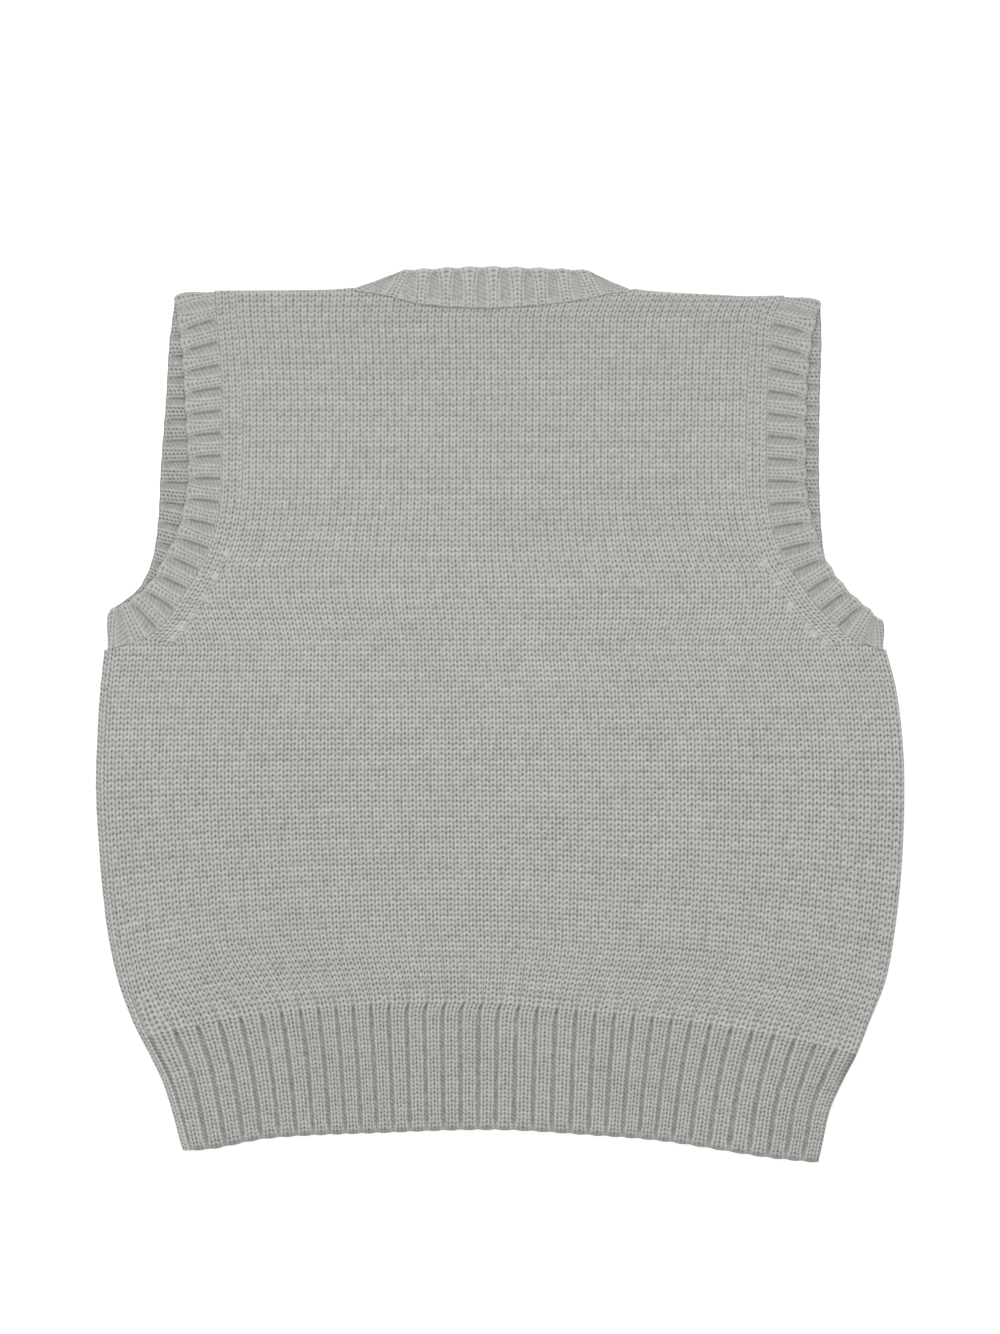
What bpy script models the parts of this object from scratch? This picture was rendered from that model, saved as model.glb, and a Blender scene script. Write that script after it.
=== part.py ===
"""Knitted sweater vest, lying flat with its back up.

The vest lies on the plane z = 0 with its neck towards +Y. The front is the
lower layer and the back the upper one. Each knitted piece is a closed wall of
cloth: two panels, their hem ribs, the neckband and two armhole bands. The
bands are loops that fold over at the shoulder and turn round the side of the
garment. Sizes and places are in millimetres and become metres when the
meshes are made.
"""

import math
from typing import NamedTuple

import bmesh
import bpy
from mathutils import Vector
from mathutils.geometry import delaunay_2d_cdt

MM = 0.001

# Cloth, in millimetres
WALL = 2.4  # stockinette and the flat side of a rib
SEAM_GAP = 0.3  # between neighbouring pieces
LAYER_GAP = 0.3  # between the front layer and the back layer
BACK_LEVEL = WALL + LAYER_GAP  # underside of the back layer
EDGE_ROUND = 1.0  # how far in from an edge the wall reaches its full thickness
RIB_CREST = 3.1  # wall through a knit rib
RIB_TROUGH = 1.5  # wall through the purl between two ribs
SIDE_TURN = 5.5  # how far the front turns up over the left side, to the side seam
FRONT_HEM_SHORT = 1.5  # how far the front hem stays inside the back one
TURN_END = 1.6  # how far the turned-up side stops before the end of its piece

# Sizes of the meshes' faces, in millimetres
PANEL_STEP = 24.0  # inside the puffed back
FLAT_STEP = 60.0  # inside the flat front
EDGE_STEP = 9.0  # along curved edges
LONG_EDGE_STEP = 2 * EDGE_STEP  # along nearly straight edges
LEAST_EDGE = 2.0  # between two corners of an outline
LATTICE_CLEAR = 0.45  # share of a step that inner points keep from an outline
STEP_HALF = 0.05  # from the middle of a steep step to its top and its foot
LEAST_REACH = 0.4  # keeps a sharp corner of an outline from moving in too far
SHARP_ANGLE = 40.0  # degrees: steeper edges are not shaded smooth
MERGE_DISTANCE = 1e-4
FILL_INSIDE = 1  # the triangulation keeps only what lies inside the outline
CORNER_ROUNDS = 6  # repeats that bring two crossing curves to one point


class Side(NamedTuple):
    """The whole outline at one height."""

    y: float
    left: float
    right: float


SIDES = (
    Side(-291.0, -203.6, 206.6),
    Side(-277.0, -208.0, 209.6),
    Side(-257.0, -213.3, 214.2),
    Side(-237.5, -219.7, 222.8),
    Side(-221.0, -227.6, 231.2),
    Side(-200.0, -238.3, 239.6),
    Side(-172.5, -248.3, 250.4),
    Side(-140.0, -255.2, 256.4),
    Side(-98.0, -259.8, 260.9),
    Side(-49.0, -262.6, 262.6),
    Side(-16.5, -261.9, 261.4),
    Side(16.0, -260.0, 257.4),
    Side(42.0, -257.0, 250.8),
)


class Point(NamedTuple):
    """A place on a crosswise curve."""

    x: float
    y: float


# Where the hem ribs meet the panels, from left to right
HEM_SEAM = (
    Point(-236.0, -210.5),
    Point(-197.0, -201.2),
    Point(-144.0, -192.7),
    Point(-65.0, -187.0),
    Point(0.0, -187.5),
    Point(50.0, -191.8),
    Point(100.0, -196.0),
    Point(149.0, -202.5),
    Point(200.0, -212.2),
    Point(234.0, -221.5),
)

CAST_ON_EDGE = (
    Point(-206.0, -283.2),
    Point(-186.0, -281.6),
    Point(-149.0, -274.8),
    Point(-79.0, -271.4),
    Point(-3.0, -269.4),
    Point(57.0, -272.7),
    Point(106.0, -276.8),
    Point(174.0, -287.4),
    Point(209.0, -290.9),
)

SHOULDER_LEFT = (Point(-98.0, 275.8), Point(-140.0, 275.6), Point(-185.0, 275.4))
SHOULDER_RIGHT = (
    Point(184.0, 272.2),
    Point(160.0, 271.7),
    Point(126.0, 273.4),
    Point(88.0, 275.2),
)



class Trough(NamedTuple):
    """Where one numbered purl trough meets the hem seam and the cast-on edge."""

    rib: int
    at_seam: float
    at_edge: float


HEM_FAN = (
    Trough(-1, -230.0, -198.5),
    Trough(0, -212.6, -187.5),
    Trough(3, -169.3, -153.4),
    Trough(6, -130.0, -120.3),
    Trough(11, -73.1, -68.9),
    Trough(17, -2.0, -2.9),
    Trough(22, 61.4, 57.2),
    Trough(28, 135.9, 122.9),
    Trough(32, 189.8, 173.6),
    Trough(35, 230.0, 207.0),
)
HEM_FIRST_RIB = HEM_FAN[0].rib
HEM_LAST_RIB = HEM_FAN[-1].rib
HEM_LENGTH = 82.0  # from the seam to the cast-on edge, along the middle
HEM_ROWS = (0.25, 0.5, 0.75)  # shares of the hem's length that get a row of points
SIDE_HOLD = 6  # power that keeps the sides' own slant to the outermost ribs
RIB_END = 0.02  # share of a rib at which the hem reaches its full thickness


class Step(NamedTuple):
    """A bend of a rib: phase 0 is the middle of the purl, height 1 is the knit crest."""

    phase: float
    height: float


HEM_RIB = (Step(0.12, 0.0), Step(0.24, 1.0), Step(0.76, 1.0), Step(0.88, 0.0))
BAND_RIB = (Step(0.16, 0.0), Step(0.27, 1.0), Step(0.73, 1.0), Step(0.84, 0.0))
BAND_PITCH = 14.0
NECK_PITCH = 15.1
FREE_ROUND = 1.5 * EDGE_ROUND  # a band's free edge is rounder than its seam edge
FOLD_SHARES = (0.25, 0.5, 0.75)  # of the half turn that a band makes at a fold
SAME_PLACE = 0.01  # mm: two sections closer than this are one


class Rung(NamedTuple):
    """A section of a band, from its seam to its free edge. Tables run from fold to fold."""

    seam_x: float
    seam_y: float
    free_x: float
    free_y: float


LEFT_BACK = (
    Rung(-185.3, 273.6, -211.2, 270.2),
    Rung(-184.3, 258.0, -208.4, 250.5),
    Rung(-182.0, 236.0, -206.2, 231.0),
    Rung(-180.3, 205.0, -204.5, 202.0),
    Rung(-180.5, 160.0, -202.5, 160.0),
    Rung(-181.6, 136.0, -204.3, 139.5),
    Rung(-187.0, 111.5, -209.0, 119.5),
    Rung(-195.5, 93.0, -217.0, 103.5),
    Rung(-206.3, 76.0, -226.0, 87.0),
    Rung(-217.0, 60.0, -236.0, 77.5),
    Rung(-230.5, 49.5, -243.2, 72.3),
    Rung(-253.9, 42.8, -251.4, 68.9),
)
LEFT_FRONT = (
    Rung(-253.9, 42.8, -251.4, 68.9),
    Rung(-235.0, 50.0, -240.5, 76.6),
    Rung(-216.0, 68.0, -233.2, 84.2),
    Rung(-204.0, 92.0, -225.8, 101.0),
    Rung(-199.5, 122.0, -222.0, 127.0),
    Rung(-197.5, 160.0, -220.4, 160.0),
    Rung(-194.0, 205.0, -217.0, 205.0),
    Rung(-190.0, 240.0, -215.0, 240.0),
    Rung(-186.5, 258.0, -213.0, 256.0),
    Rung(-185.3, 273.6, -211.2, 270.2),
)
RIGHT_BACK = (
    Rung(183.8, 270.5, 208.0, 266.2),
    Rung(177.0, 257.0, 203.8, 250.5),
    Rung(175.0, 238.0, 200.9, 232.0),
    Rung(173.4, 206.0, 198.9, 202.5),
    Rung(172.9, 150.0, 198.9, 150.0),
    Rung(175.4, 127.0, 201.3, 131.0),
    Rung(182.6, 103.5, 207.3, 111.0),
    Rung(193.4, 87.0, 213.4, 98.0),
    Rung(204.0, 72.0, 221.4, 86.2),
    Rung(214.0, 62.0, 231.0, 75.8),
    Rung(225.5, 51.3, 238.8, 69.4),
    Rung(247.8, 42.2, 245.9, 62.0),
)
RIGHT_FRONT = (
    Rung(247.8, 42.2, 245.9, 62.0),
    Rung(228.0, 50.5, 234.5, 71.0),
    Rung(211.0, 62.0, 223.2, 81.6),
    Rung(196.5, 80.0, 214.0, 94.8),
    Rung(187.5, 104.0, 210.0, 108.5),
    Rung(184.0, 150.0, 207.4, 150.0),
    Rung(183.4, 205.0, 207.8, 205.0),
    Rung(183.8, 240.0, 208.8, 240.0),
    Rung(184.0, 256.0, 208.6, 254.0),
    Rung(183.8, 270.5, 208.0, 266.2),
)
NECK_BACK = (
    Rung(-93.5, 275.0, -69.0, 285.4),
    Rung(-75.0, 272.3, -63.5, 288.2),
    Rung(-52.0, 266.6, -50.0, 289.2),
    Rung(-10.0, 263.8, -10.0, 290.7),
    Rung(30.0, 266.2, 28.0, 289.7),
    Rung(56.0, 269.8, 50.0, 288.8),
    Rung(70.0, 273.0, 58.0, 288.0),
    Rung(83.5, 274.2, 62.0, 285.2),
)
V_POINT_X = -6.0
V_POINT_Y = 80.0
V_MITRE = 56.0  # from the seam's point to the free edge's point
NECK_FRONT_RIGHT = (
    Rung(83.5, 274.2, 62.0, 285.2),
    Rung(78.0, 248.0, 54.5, 254.0),
    Rung(54.0, 190.0, 31.5, 199.5),
    Rung(26.0, 135.0, 9.5, 160.0),
    Rung(V_POINT_X, V_POINT_Y, V_POINT_X, V_POINT_Y + V_MITRE),
)
NECK_FRONT_LEFT = (
    Rung(V_POINT_X, V_POINT_Y, V_POINT_X, V_POINT_Y + V_MITRE),
    Rung(-38.0, 135.0, -21.5, 160.0),
    Rung(-65.0, 190.0, -42.5, 199.5),
    Rung(-88.0, 248.0, -64.5, 254.0),
    Rung(-93.5, 275.0, -69.0, 285.4),
)



class Puff(NamedTuple):
    """How far the back is puffed up over the front at one height on the garment."""

    y: float
    lift: float


PUFFS = (
    Puff(-225.0, 0.0),
    Puff(-190.0, 0.6),
    Puff(-150.0, 2.2),
    Puff(-60.0, 3.0),
    Puff(40.0, 3.0),
    Puff(120.0, 1.7),
    Puff(220.0, 1.1),
    Puff(262.0, 0.3),
    Puff(292.0, 0.0),
)
PUFF_REACH = 32.0  # from the side to the full lift
MOST_LIFT = 3.5



class Crease(NamedTuple):
    """A soft crease of the back: a positive rise is a ridge, a negative one a trough."""

    x: float
    y: float
    length: float
    width: float
    turn: float  # degrees from +X
    rise: float


CREASES = (
    Crease(-127.0, 117.0, 98.0, 26.0, 11.0, -1.0),
    Crease(62.0, 111.0, 84.0, 26.0, 0.0, -1.1),
    Crease(140.0, -59.0, 150.0, 34.0, 0.0, -0.9),
    Crease(104.0, -124.0, 66.0, 26.0, 32.0, -0.9),
    Crease(141.0, -160.0, 58.0, 26.0, 45.0, -0.9),
    Crease(198.0, -168.0, 44.0, 34.0, 30.0, -0.9),
    Crease(-46.0, 230.0, 60.0, 50.0, 20.0, -0.6),
    Crease(-172.0, 22.0, 110.0, 80.0, 0.0, 0.5),
    Crease(-65.0, 3.0, 120.0, 70.0, 0.0, 0.4),
    Crease(130.0, 9.0, 120.0, 70.0, 0.0, 0.5),
)

COLOURS = {
    "stockinette": (0.402, 0.407, 0.381),
    "rib": (0.376, 0.381, 0.356),
    "band": (0.361, 0.366, 0.342),
}
YARN_ROUGHNESS = 0.9


def clear_scene():
    """Remove every object that the scene starts with."""
    for thing in list(bpy.data.objects):
        bpy.data.objects.remove(thing, do_unlink=True)


def yarn(name, kind):
    """A matt wool material in one of the named greys."""
    material = bpy.data.materials.new(name)
    material.use_nodes = True
    shader = material.node_tree.nodes["Principled BSDF"]
    shader.inputs["Base Color"].default_value = (*COLOURS[kind], 1.0)
    shader.inputs["Roughness"].default_value = YARN_ROUGHNESS
    shader.inputs["Metallic"].default_value = 0.0
    shader.inputs["Sheen Weight"].default_value = 0.2
    return material


# Curves


def smooth(keys, values, key):
    """A smooth curve through a table's values, read at one key."""
    last = len(keys) - 2
    i = 0
    while i < last and key > keys[i + 1]:
        i += 1
    span = keys[i + 1] - keys[i]
    t = (key - keys[i]) / span

    def slope(j):
        a, b = max(j - 1, 0), min(j + 1, len(keys) - 1)
        return (values[b] - values[a]) / (keys[b] - keys[a])

    start, end = values[i], values[i + 1]
    rise = slope(i) * span
    fall = slope(i + 1) * span
    return (
        start * (2 * t**3 - 3 * t**2 + 1)
        + rise * (t**3 - 2 * t**2 + t)
        + end * (3 * t**2 - 2 * t**3)
        + fall * (t**3 - t**2)
    )


def side_x(y, which):
    """The outline's x on the left or right side at one height."""
    return smooth([row.y for row in SIDES], [getattr(row, which) for row in SIDES], y)


def curve_y(points, x):
    """The height of a crosswise curve at one x."""
    return smooth([p.x for p in points], [p.y for p in points], x)


def side_seam_x(y):
    """The left side seam, which the back starts from."""
    return side_x(y, "left") + SIDE_TURN


def resampled(points, step):
    """Points along a polyline, about one step apart, with both ends kept."""
    lengths = [0.0]
    for before, after in zip(points, points[1:]):
        lengths.append(lengths[-1] + (after - before).length)
    count = max(1, round(lengths[-1] / step))
    found = []
    i = 0
    for n in range(count + 1):
        at = lengths[-1] * n / count
        while i < len(points) - 2 and at > lengths[i + 1]:
            i += 1
        share = (at - lengths[i]) / (lengths[i + 1] - lengths[i])
        found.append(points[i].lerp(points[i + 1], share))
    return found


def crosswise(points, start, end, step):
    """Points along a crosswise curve between two x places."""
    count = max(1, round(abs(end - start) / step))
    xs = [start + (end - start) * n / count for n in range(count + 1)]
    return [Vector((x, curve_y(points, x))) for x in xs]


def along_side(which, start, end, step, inside=0.0):
    """Points along one side of the outline, moved inside by a distance."""
    count = max(1, round(abs(end - start) / step))
    sign = 1.0 if which == "left" else -1.0
    ys = [start + (end - start) * n / count for n in range(count + 1)]
    return [Vector((side_x(y, which) + sign * inside, y)) for y in ys]


def rungs_between(rows, step):
    """Smooth sections through a band table, about one step apart along its middle."""
    values = [Vector(row) for row in rows]
    keys = [0.0]
    for before, after in zip(values, values[1:]):
        move = (after - before) / 2
        keys.append(keys[-1] + math.hypot(move[0] + move[2], move[1] + move[3]))
    count = max(1, round(keys[-1] / step))
    return [smooth(keys, values, keys[-1] * n / count) for n in range(count + 1)]


def seam_line(rows, step):
    """The seam edge of a band, as points."""
    return [Vector((rung[0], rung[1])) for rung in rungs_between(rows, step)]


# Outlines


def without_doubles(loop):
    """A closed loop without points that nearly coincide."""
    kept = []
    for point in loop:
        if not kept or (point - kept[-1]).length > LEAST_EDGE:
            kept.append(point)
    while (kept[-1] - kept[0]).length < LEAST_EDGE:
        kept.pop()
    return kept


def inset(loop, distance):
    """A counter-clockwise loop moved inwards, corner by corner."""
    moved = []
    for i, here in enumerate(loop):
        ahead = (loop[(i + 1) % len(loop)] - here).normalized()
        behind = (here - loop[i - 1]).normalized()
        inwards = Vector((-ahead.y - behind.y, ahead.x + behind.x))
        reach = max(inwards.length / 2, LEAST_REACH)
        moved.append(here + inwards.normalized() * (distance / reach))
    return moved


def body_sides(front):
    """The left and right edges of a panel, from the hem seam up to the shoulder."""
    left_rows, right_rows = (LEFT_FRONT[::-1], RIGHT_FRONT) if front else (LEFT_BACK, RIGHT_BACK[::-1])
    inside = 0.0 if front else SIDE_TURN
    underarm = SIDES[-1].y
    left = along_side("left", hem_corner("left", inside).y, underarm, LONG_EDGE_STEP, inside)
    right = along_side("right", hem_corner("right").y, underarm, LONG_EDGE_STEP)
    arm_left = [p for p in seam_line(left_rows, EDGE_STEP)[::-1] if p.x > left[-1].x + EDGE_ROUND]
    arm_right = [p for p in seam_line(right_rows, EDGE_STEP) if p.x < right[-1].x - EDGE_ROUND]
    return left + arm_left, right + arm_right


def hem_corner(which, inside=0.0):
    """Where the hem seam meets one side, moved inside by a distance."""
    sign = 1.0 if which == "left" else -1.0
    end = HEM_SEAM[0] if which == "left" else HEM_SEAM[-1]
    corner = Vector((end.x, end.y))
    for _ in range(CORNER_ROUNDS):
        corner.x = side_x(corner.y, which) + sign * inside
        corner.y = curve_y(HEM_SEAM, corner.x)
    return corner


def as_vectors(points):
    """Table points as vectors."""
    return [Vector((p.x, p.y)) for p in points]


def panel_outline(front):
    """The closed edge of a panel, counter-clockwise, with seams at their middle line."""
    left, right = body_sides(front)
    hem = crosswise(HEM_SEAM, left[0].x, right[0].x, LONG_EDGE_STEP)
    shoulder_right = resampled(as_vectors(SHOULDER_RIGHT), LONG_EDGE_STEP)
    shoulder_left = resampled(as_vectors(SHOULDER_LEFT), LONG_EDGE_STEP)
    if front:
        neck = seam_line(NECK_FRONT_RIGHT, EDGE_STEP) + seam_line(NECK_FRONT_LEFT, EDGE_STEP)
    else:
        neck = seam_line(NECK_BACK, EDGE_STEP)[::-1]
    loop = hem + right + shoulder_right + neck + shoulder_left + left[::-1]
    return inset(without_doubles(loop), SEAM_GAP / 2)


def front_hem_outline():
    """The closed edge of the front hem rib, counter-clockwise."""
    corner_left, corner_right = hem_corner("left"), hem_corner("right")
    start = side_x(CAST_ON_EDGE[0].y, "left")
    edge = crosswise(CAST_ON_EDGE, start, SIDES[0].right, LONG_EDGE_STEP)
    edge = [Vector((p.x, p.y + FRONT_HEM_SHORT)) for p in edge]
    right = along_side("right", edge[-1].y, corner_right.y, LONG_EDGE_STEP)
    seam = crosswise(HEM_SEAM, corner_right.x, corner_left.x, LONG_EDGE_STEP)
    left = along_side("left", corner_left.y, edge[0].y, LONG_EDGE_STEP)
    return inset(without_doubles(edge + right + seam + left), SEAM_GAP / 2)


# Relief of the back


def fade(share):
    """0 to 1 with level ends."""
    share = min(max(share, 0.0), 1.0)
    return share * share * (3 - 2 * share)


def crease_rise(crease, x, y):
    """The rise of one soft crease at a point."""
    turn = math.radians(crease.turn)
    dx, dy = x - crease.x, y - crease.y
    along = dx * math.cos(turn) + dy * math.sin(turn)
    across = dy * math.cos(turn) - dx * math.sin(turn)
    spread = (along / (crease.length / 2)) ** 2 + (across / (crease.width / 2)) ** 2
    return crease.rise * math.exp(-spread)


def back_lift(x, y):
    """How far the back lies above its resting level."""
    low = min(max(y, SIDES[0].y), SIDES[-1].y)
    room = min(x - side_x(low, "left"), side_x(low, "right") - x)
    puff = smooth([row.y for row in PUFFS], [row.lift for row in PUFFS], y)
    lift = puff + sum(crease_rise(crease, x, y) for crease in CREASES)
    return min(max(lift, 0.0), MOST_LIFT) * fade((room - SIDE_TURN) / PUFF_REACH)


def back_under(x, y):
    """The underside of the back."""
    return BACK_LEVEL + back_lift(x, y)


def back_over(x, y):
    """The upper side of the back."""
    return back_under(x, y) + WALL


def on_plane(x, y):
    """The surface that the garment rests on."""
    return 0.0


def front_over(low, high):
    """The upper side of a front piece, which turns up at the left side between two heights."""

    def over(x, y):
        beside = x < side_x(y, "left") + SIDE_TURN - SEAM_GAP
        turned = beside and low - SAME_PLACE < y < high + SAME_PLACE
        return BACK_LEVEL + WALL if turned else WALL

    return over


# Meshes


def inside_loop(loop, point, clear):
    """True for a point inside a loop and at least a clear distance from its edge."""
    odd = False
    for i, b in enumerate(loop):
        a = loop[i - 1]
        if (a.y > point.y) != (b.y > point.y):
            crossing = a.x + (point.y - a.y) / (b.y - a.y) * (b.x - a.x)
            odd = odd != (point.x < crossing)
        edge = b - a
        share = min(max((point - a).dot(edge) / edge.length_squared, 0.0), 1.0)
        if (a + edge * share - point).length < clear:
            return False
    return odd


def lattice(loop, step):
    """Points of an even lattice inside a loop, every other row shifted by half a step."""
    low_x, high_x = min(p.x for p in loop), max(p.x for p in loop)
    low_y, high_y = min(p.y for p in loop), max(p.y for p in loop)
    rows = math.ceil((high_y - low_y) / step)
    columns = math.ceil((high_x - low_x) / step)
    spots = [
        Vector((low_x + (i + (j % 2) / 2) * step, low_y + j * step))
        for j in range(rows)
        for i in range(columns)
    ]
    return [spot for spot in spots if inside_loop(loop, spot, LATTICE_CLEAR * step)]


def as_object(name, bm, material):
    """A closed mesh in metres as a named object, with its faces pointing out."""
    bmesh.ops.recalc_face_normals(bm, faces=bm.faces)
    mesh = bpy.data.meshes.new(name)
    bm.to_mesh(mesh)
    bm.free()
    mesh.shade_smooth()
    mesh.set_sharp_from_angle(angle=math.radians(SHARP_ANGLE))
    mesh.materials.append(material)
    thing = bpy.data.objects.new(name, mesh)
    bpy.context.scene.collection.objects.link(thing)
    return thing


def vertex(bm, x, y, z):
    """A vertex at a place in millimetres."""
    return bm.verts.new((x * MM, y * MM, z * MM))


def cloth_wall(name, outline, over, under, step, material, lines=()):
    """A wall of cloth inside an outline, between two height functions.

    The edge is a rim at half the thickness. Lines are extra rows of points
    that the upper side has to follow.
    """
    ring = inset(outline, EDGE_ROUND)
    spots = ring + [p for line in lines for p in line] + lattice(ring, step)
    edge_loop = [list(range(len(ring)))]
    found = delaunay_2d_cdt(spots, [], edge_loop, FILL_INSIDE, MERGE_DISTANCE)
    points, faces, origins = found[0], found[2], found[3]
    bm = bmesh.new()
    upper = [vertex(bm, p.x, p.y, over(p.x, p.y)) for p in points]
    lower = [vertex(bm, p.x, p.y, under(p.x, p.y)) for p in points]
    for face in faces:
        bm.faces.new([upper[i] for i in face])
        bm.faces.new([lower[i] for i in reversed(face)])
    place = {spot: i for i, merged in enumerate(origins) for spot in merged}
    rims = []
    for i, p in enumerate(outline):
        near = points[place[i]]
        rims.append(vertex(bm, p.x, p.y, (over(near.x, near.y) + under(near.x, near.y)) / 2))
    for i in range(len(ring)):
        a, b = i, (i + 1) % len(ring)
        bm.faces.new((rims[a], rims[b], upper[place[b]], upper[place[a]]))
        bm.faces.new((rims[b], rims[a], lower[place[a]], lower[place[b]]))
    return as_object(name, bm, material)


def grid_wall(name, upper, lower, material):
    """A wall between two grids of points that share their border."""
    rows, columns = len(upper), len(upper[0])
    bm = bmesh.new()
    top = [[vertex(bm, *p) for p in row] for row in upper]
    bottom = [list(row) for row in top]
    for j in range(1, rows - 1):
        for i in range(1, columns - 1):
            bottom[j][i] = vertex(bm, *lower[j][i])
    for j in range(rows - 1):
        for i in range(columns - 1):
            for side in (top, bottom):
                corners = side[j][i], side[j][i + 1], side[j + 1][i + 1], side[j + 1][i]
                bm.faces.new(corners if side is top else corners[::-1])
    return as_object(name, bm, material)


# Hem ribs


def rib_phases(first, last, steps):
    """Each place along the ribs where the surface bends, with its height."""
    found = [Step(float(first), 0.0), Step(first + RIB_END, 0.0)]
    for rib in range(first, last):
        found += [Step(rib + step.phase, step.height) for step in steps]
    return found + [Step(last - RIB_END, 0.0), Step(float(last), 0.0)]


def mixed(start, end, share):
    """A value part of the way from start to end."""
    return start * (1 - share) + end * share


def hem_y(x, share):
    """The height of a row of the hem, whose share runs from the seam to the cast-on edge."""
    return mixed(curve_y(HEM_SEAM, x), curve_y(CAST_ON_EDGE, x), share)


def hem_point(rib, share):
    """A point of the back hem: rib counts across it, share runs from seam to cast-on edge."""
    keys = [row.rib for row in HEM_FAN]
    seam_x = smooth(keys, [row.at_seam for row in HEM_FAN], rib)
    edge_x = smooth(keys, [row.at_edge for row in HEM_FAN], rib)
    across = (rib - HEM_FIRST_RIB) / (HEM_LAST_RIB - HEM_FIRST_RIB)
    left_x = mixed(HEM_FAN[0].at_seam, HEM_FAN[0].at_edge, share)
    right_x = mixed(HEM_FAN[-1].at_seam, HEM_FAN[-1].at_edge, share)
    left_move = side_seam_x(hem_y(left_x, share)) - left_x
    right_move = side_x(hem_y(right_x, share), "right") - right_x
    x = mixed(seam_x, edge_x, share)
    x += left_move * (1 - across) ** SIDE_HOLD + right_move * across**SIDE_HOLD
    return x, hem_y(x, share)


def back_hem():
    """The back's hem rib: knit ribs raised on a plain underside."""
    margin = EDGE_ROUND / HEM_LENGTH
    gap = SEAM_GAP / 2 / HEM_LENGTH
    shares = (gap, gap + margin, *HEM_ROWS, 1.0 - margin, 1.0)
    middle = BACK_LEVEL + RIB_TROUGH / 2
    upper, lower = [], []
    for share in shares:
        upper_row, lower_row = [], []
        for phase, height in rib_phases(HEM_FIRST_RIB, HEM_LAST_RIB, HEM_RIB):
            x, y = hem_point(phase, share)
            z = BACK_LEVEL + mixed(RIB_TROUGH, RIB_CREST, height)
            border = share in (shares[0], shares[-1]) or phase in (HEM_FIRST_RIB, HEM_LAST_RIB)
            upper_row.append((x, y, middle if border else z))
            lower_row.append((x, y, BACK_LEVEL))
        upper.append(upper_row)
        lower.append(lower_row)
    return grid_wall("back_hem_rib", upper, lower, yarn("back hem yarn", "rib"))


# Bands


class Section(NamedTuple):
    """One section of a band with its place round the fold and its wall."""

    seam: Vector
    free: Vector
    angle: float  # 0 on the back layer, pi on the front layer
    outwards: Vector  # the way a fold leans, flat
    outer: float  # wall from the inner level to the outer face
    inner: float  # how far the inner face is hollowed


def ribbed_rungs(rows, pitch):
    """Sections of one stretch of band, each with its rib height."""
    whole = rungs_between(rows, pitch)
    ribs = len(whole) - 1
    keys = range(ribs + 1)
    bends = [(0.0, 1.0), (float(ribs), 1.0)]
    for rib in range(ribs):
        bends += [(rib + (step.phase + 0.5) % 1.0, step.height) for step in BAND_RIB]
    return [(smooth(keys, whole, key), height) for key, height in sorted(bends)]


def across_fold(rung, towards):
    """The flat direction square to a fold line, on the side of a given direction."""
    line = Vector((rung[2] - rung[0], rung[3] - rung[1])).normalized()
    square = Vector((line.y, -line.x))
    return square if square.dot(towards) > 0 else -square


def fold_sections(rung, towards, downwards):
    """Sections that carry a band round a fold, between the two layers."""
    outwards = across_fold(rung, towards)
    angles = [math.pi * share for share in FOLD_SHARES]
    if not downwards:
        angles.reverse()
    seam, free = Vector(rung[:2]), Vector(rung[2:])
    return [Section(seam, free, angle, outwards, WALL, 0.0) for angle in angles]


def flat_sections(runs, pitch, angle, inner_ribs):
    """Sections of the stretches of a band that lie in one layer."""
    found = []
    for run in runs:
        for rung, height in ribbed_rungs(run, pitch):
            seam, free = Vector(rung[:2]), Vector(rung[2:])
            if found and (found[-1].seam - seam).length < SAME_PLACE:
                continue
            outer, inner = WALL, 0.0
            if angle == 0.0:
                outer = mixed(RIB_TROUGH, RIB_CREST, height)
            elif inner_ribs:
                inner = (1 - height) * (WALL - RIB_TROUGH)
            found.append(Section(seam, free, angle, Vector((0.0, 0.0)), outer, inner))
    return found


def section_points(section):
    """Six points round a section: rim, outer face, rim, inner face."""
    width = (section.free - section.seam).length
    middle = (section.outer + section.inner) / 2
    corners = (
        (SEAM_GAP / 2, middle),
        (SEAM_GAP / 2 + EDGE_ROUND, section.outer),
        (width - FREE_ROUND, section.outer),
        (width, middle),
        (width - FREE_ROUND, section.inner),
        (SEAM_GAP / 2 + EDGE_ROUND, section.inner),
    )
    fold_height = WALL + LAYER_GAP / 2
    points = []
    for across, height in corners:
        reach = LAYER_GAP / 2 + height
        flat = section.seam.lerp(section.free, across / width)
        flat = flat + section.outwards * (reach * math.sin(section.angle))
        points.append((flat.x, flat.y, fold_height + reach * math.cos(section.angle)))
    return points


def band(name, back, front_runs, pitch, inner_ribs, material):
    """A closed loop of ribbed band that lies over the back and under the front."""
    start, end = back[0], back[-1]
    upper = flat_sections([back], pitch, 0.0, inner_ribs)
    lower = flat_sections(front_runs, pitch, math.pi, inner_ribs)
    sections = upper + fold_sections(end, middle_of(end) - middle_of(back[-2]), True)
    sections += lower + fold_sections(start, middle_of(start) - middle_of(back[1]), False)
    bm = bmesh.new()
    rings = [[vertex(bm, *p) for p in section_points(section)] for section in sections]
    for i, ring in enumerate(rings):
        before = rings[i - 1]
        for j in range(len(ring)):
            k = (j + 1) % len(ring)
            bm.faces.new((before[j], before[k], ring[k], ring[j]))
    return as_object(name, bm, material)


def middle_of(rung):
    """The middle of a band section."""
    return Vector(((rung.seam_x + rung.free_x) / 2, (rung.seam_y + rung.free_y) / 2))


# The garment


def side_turn_lines(low, high):
    """Two rows of points where the front's turned-up side ends, top and foot."""
    edge = SIDE_TURN - SEAM_GAP
    top = along_side("left", low, high, EDGE_STEP, edge - STEP_HALF)
    foot = along_side("left", low, high, EDGE_STEP, edge + STEP_HALF)
    return top, foot


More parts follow.
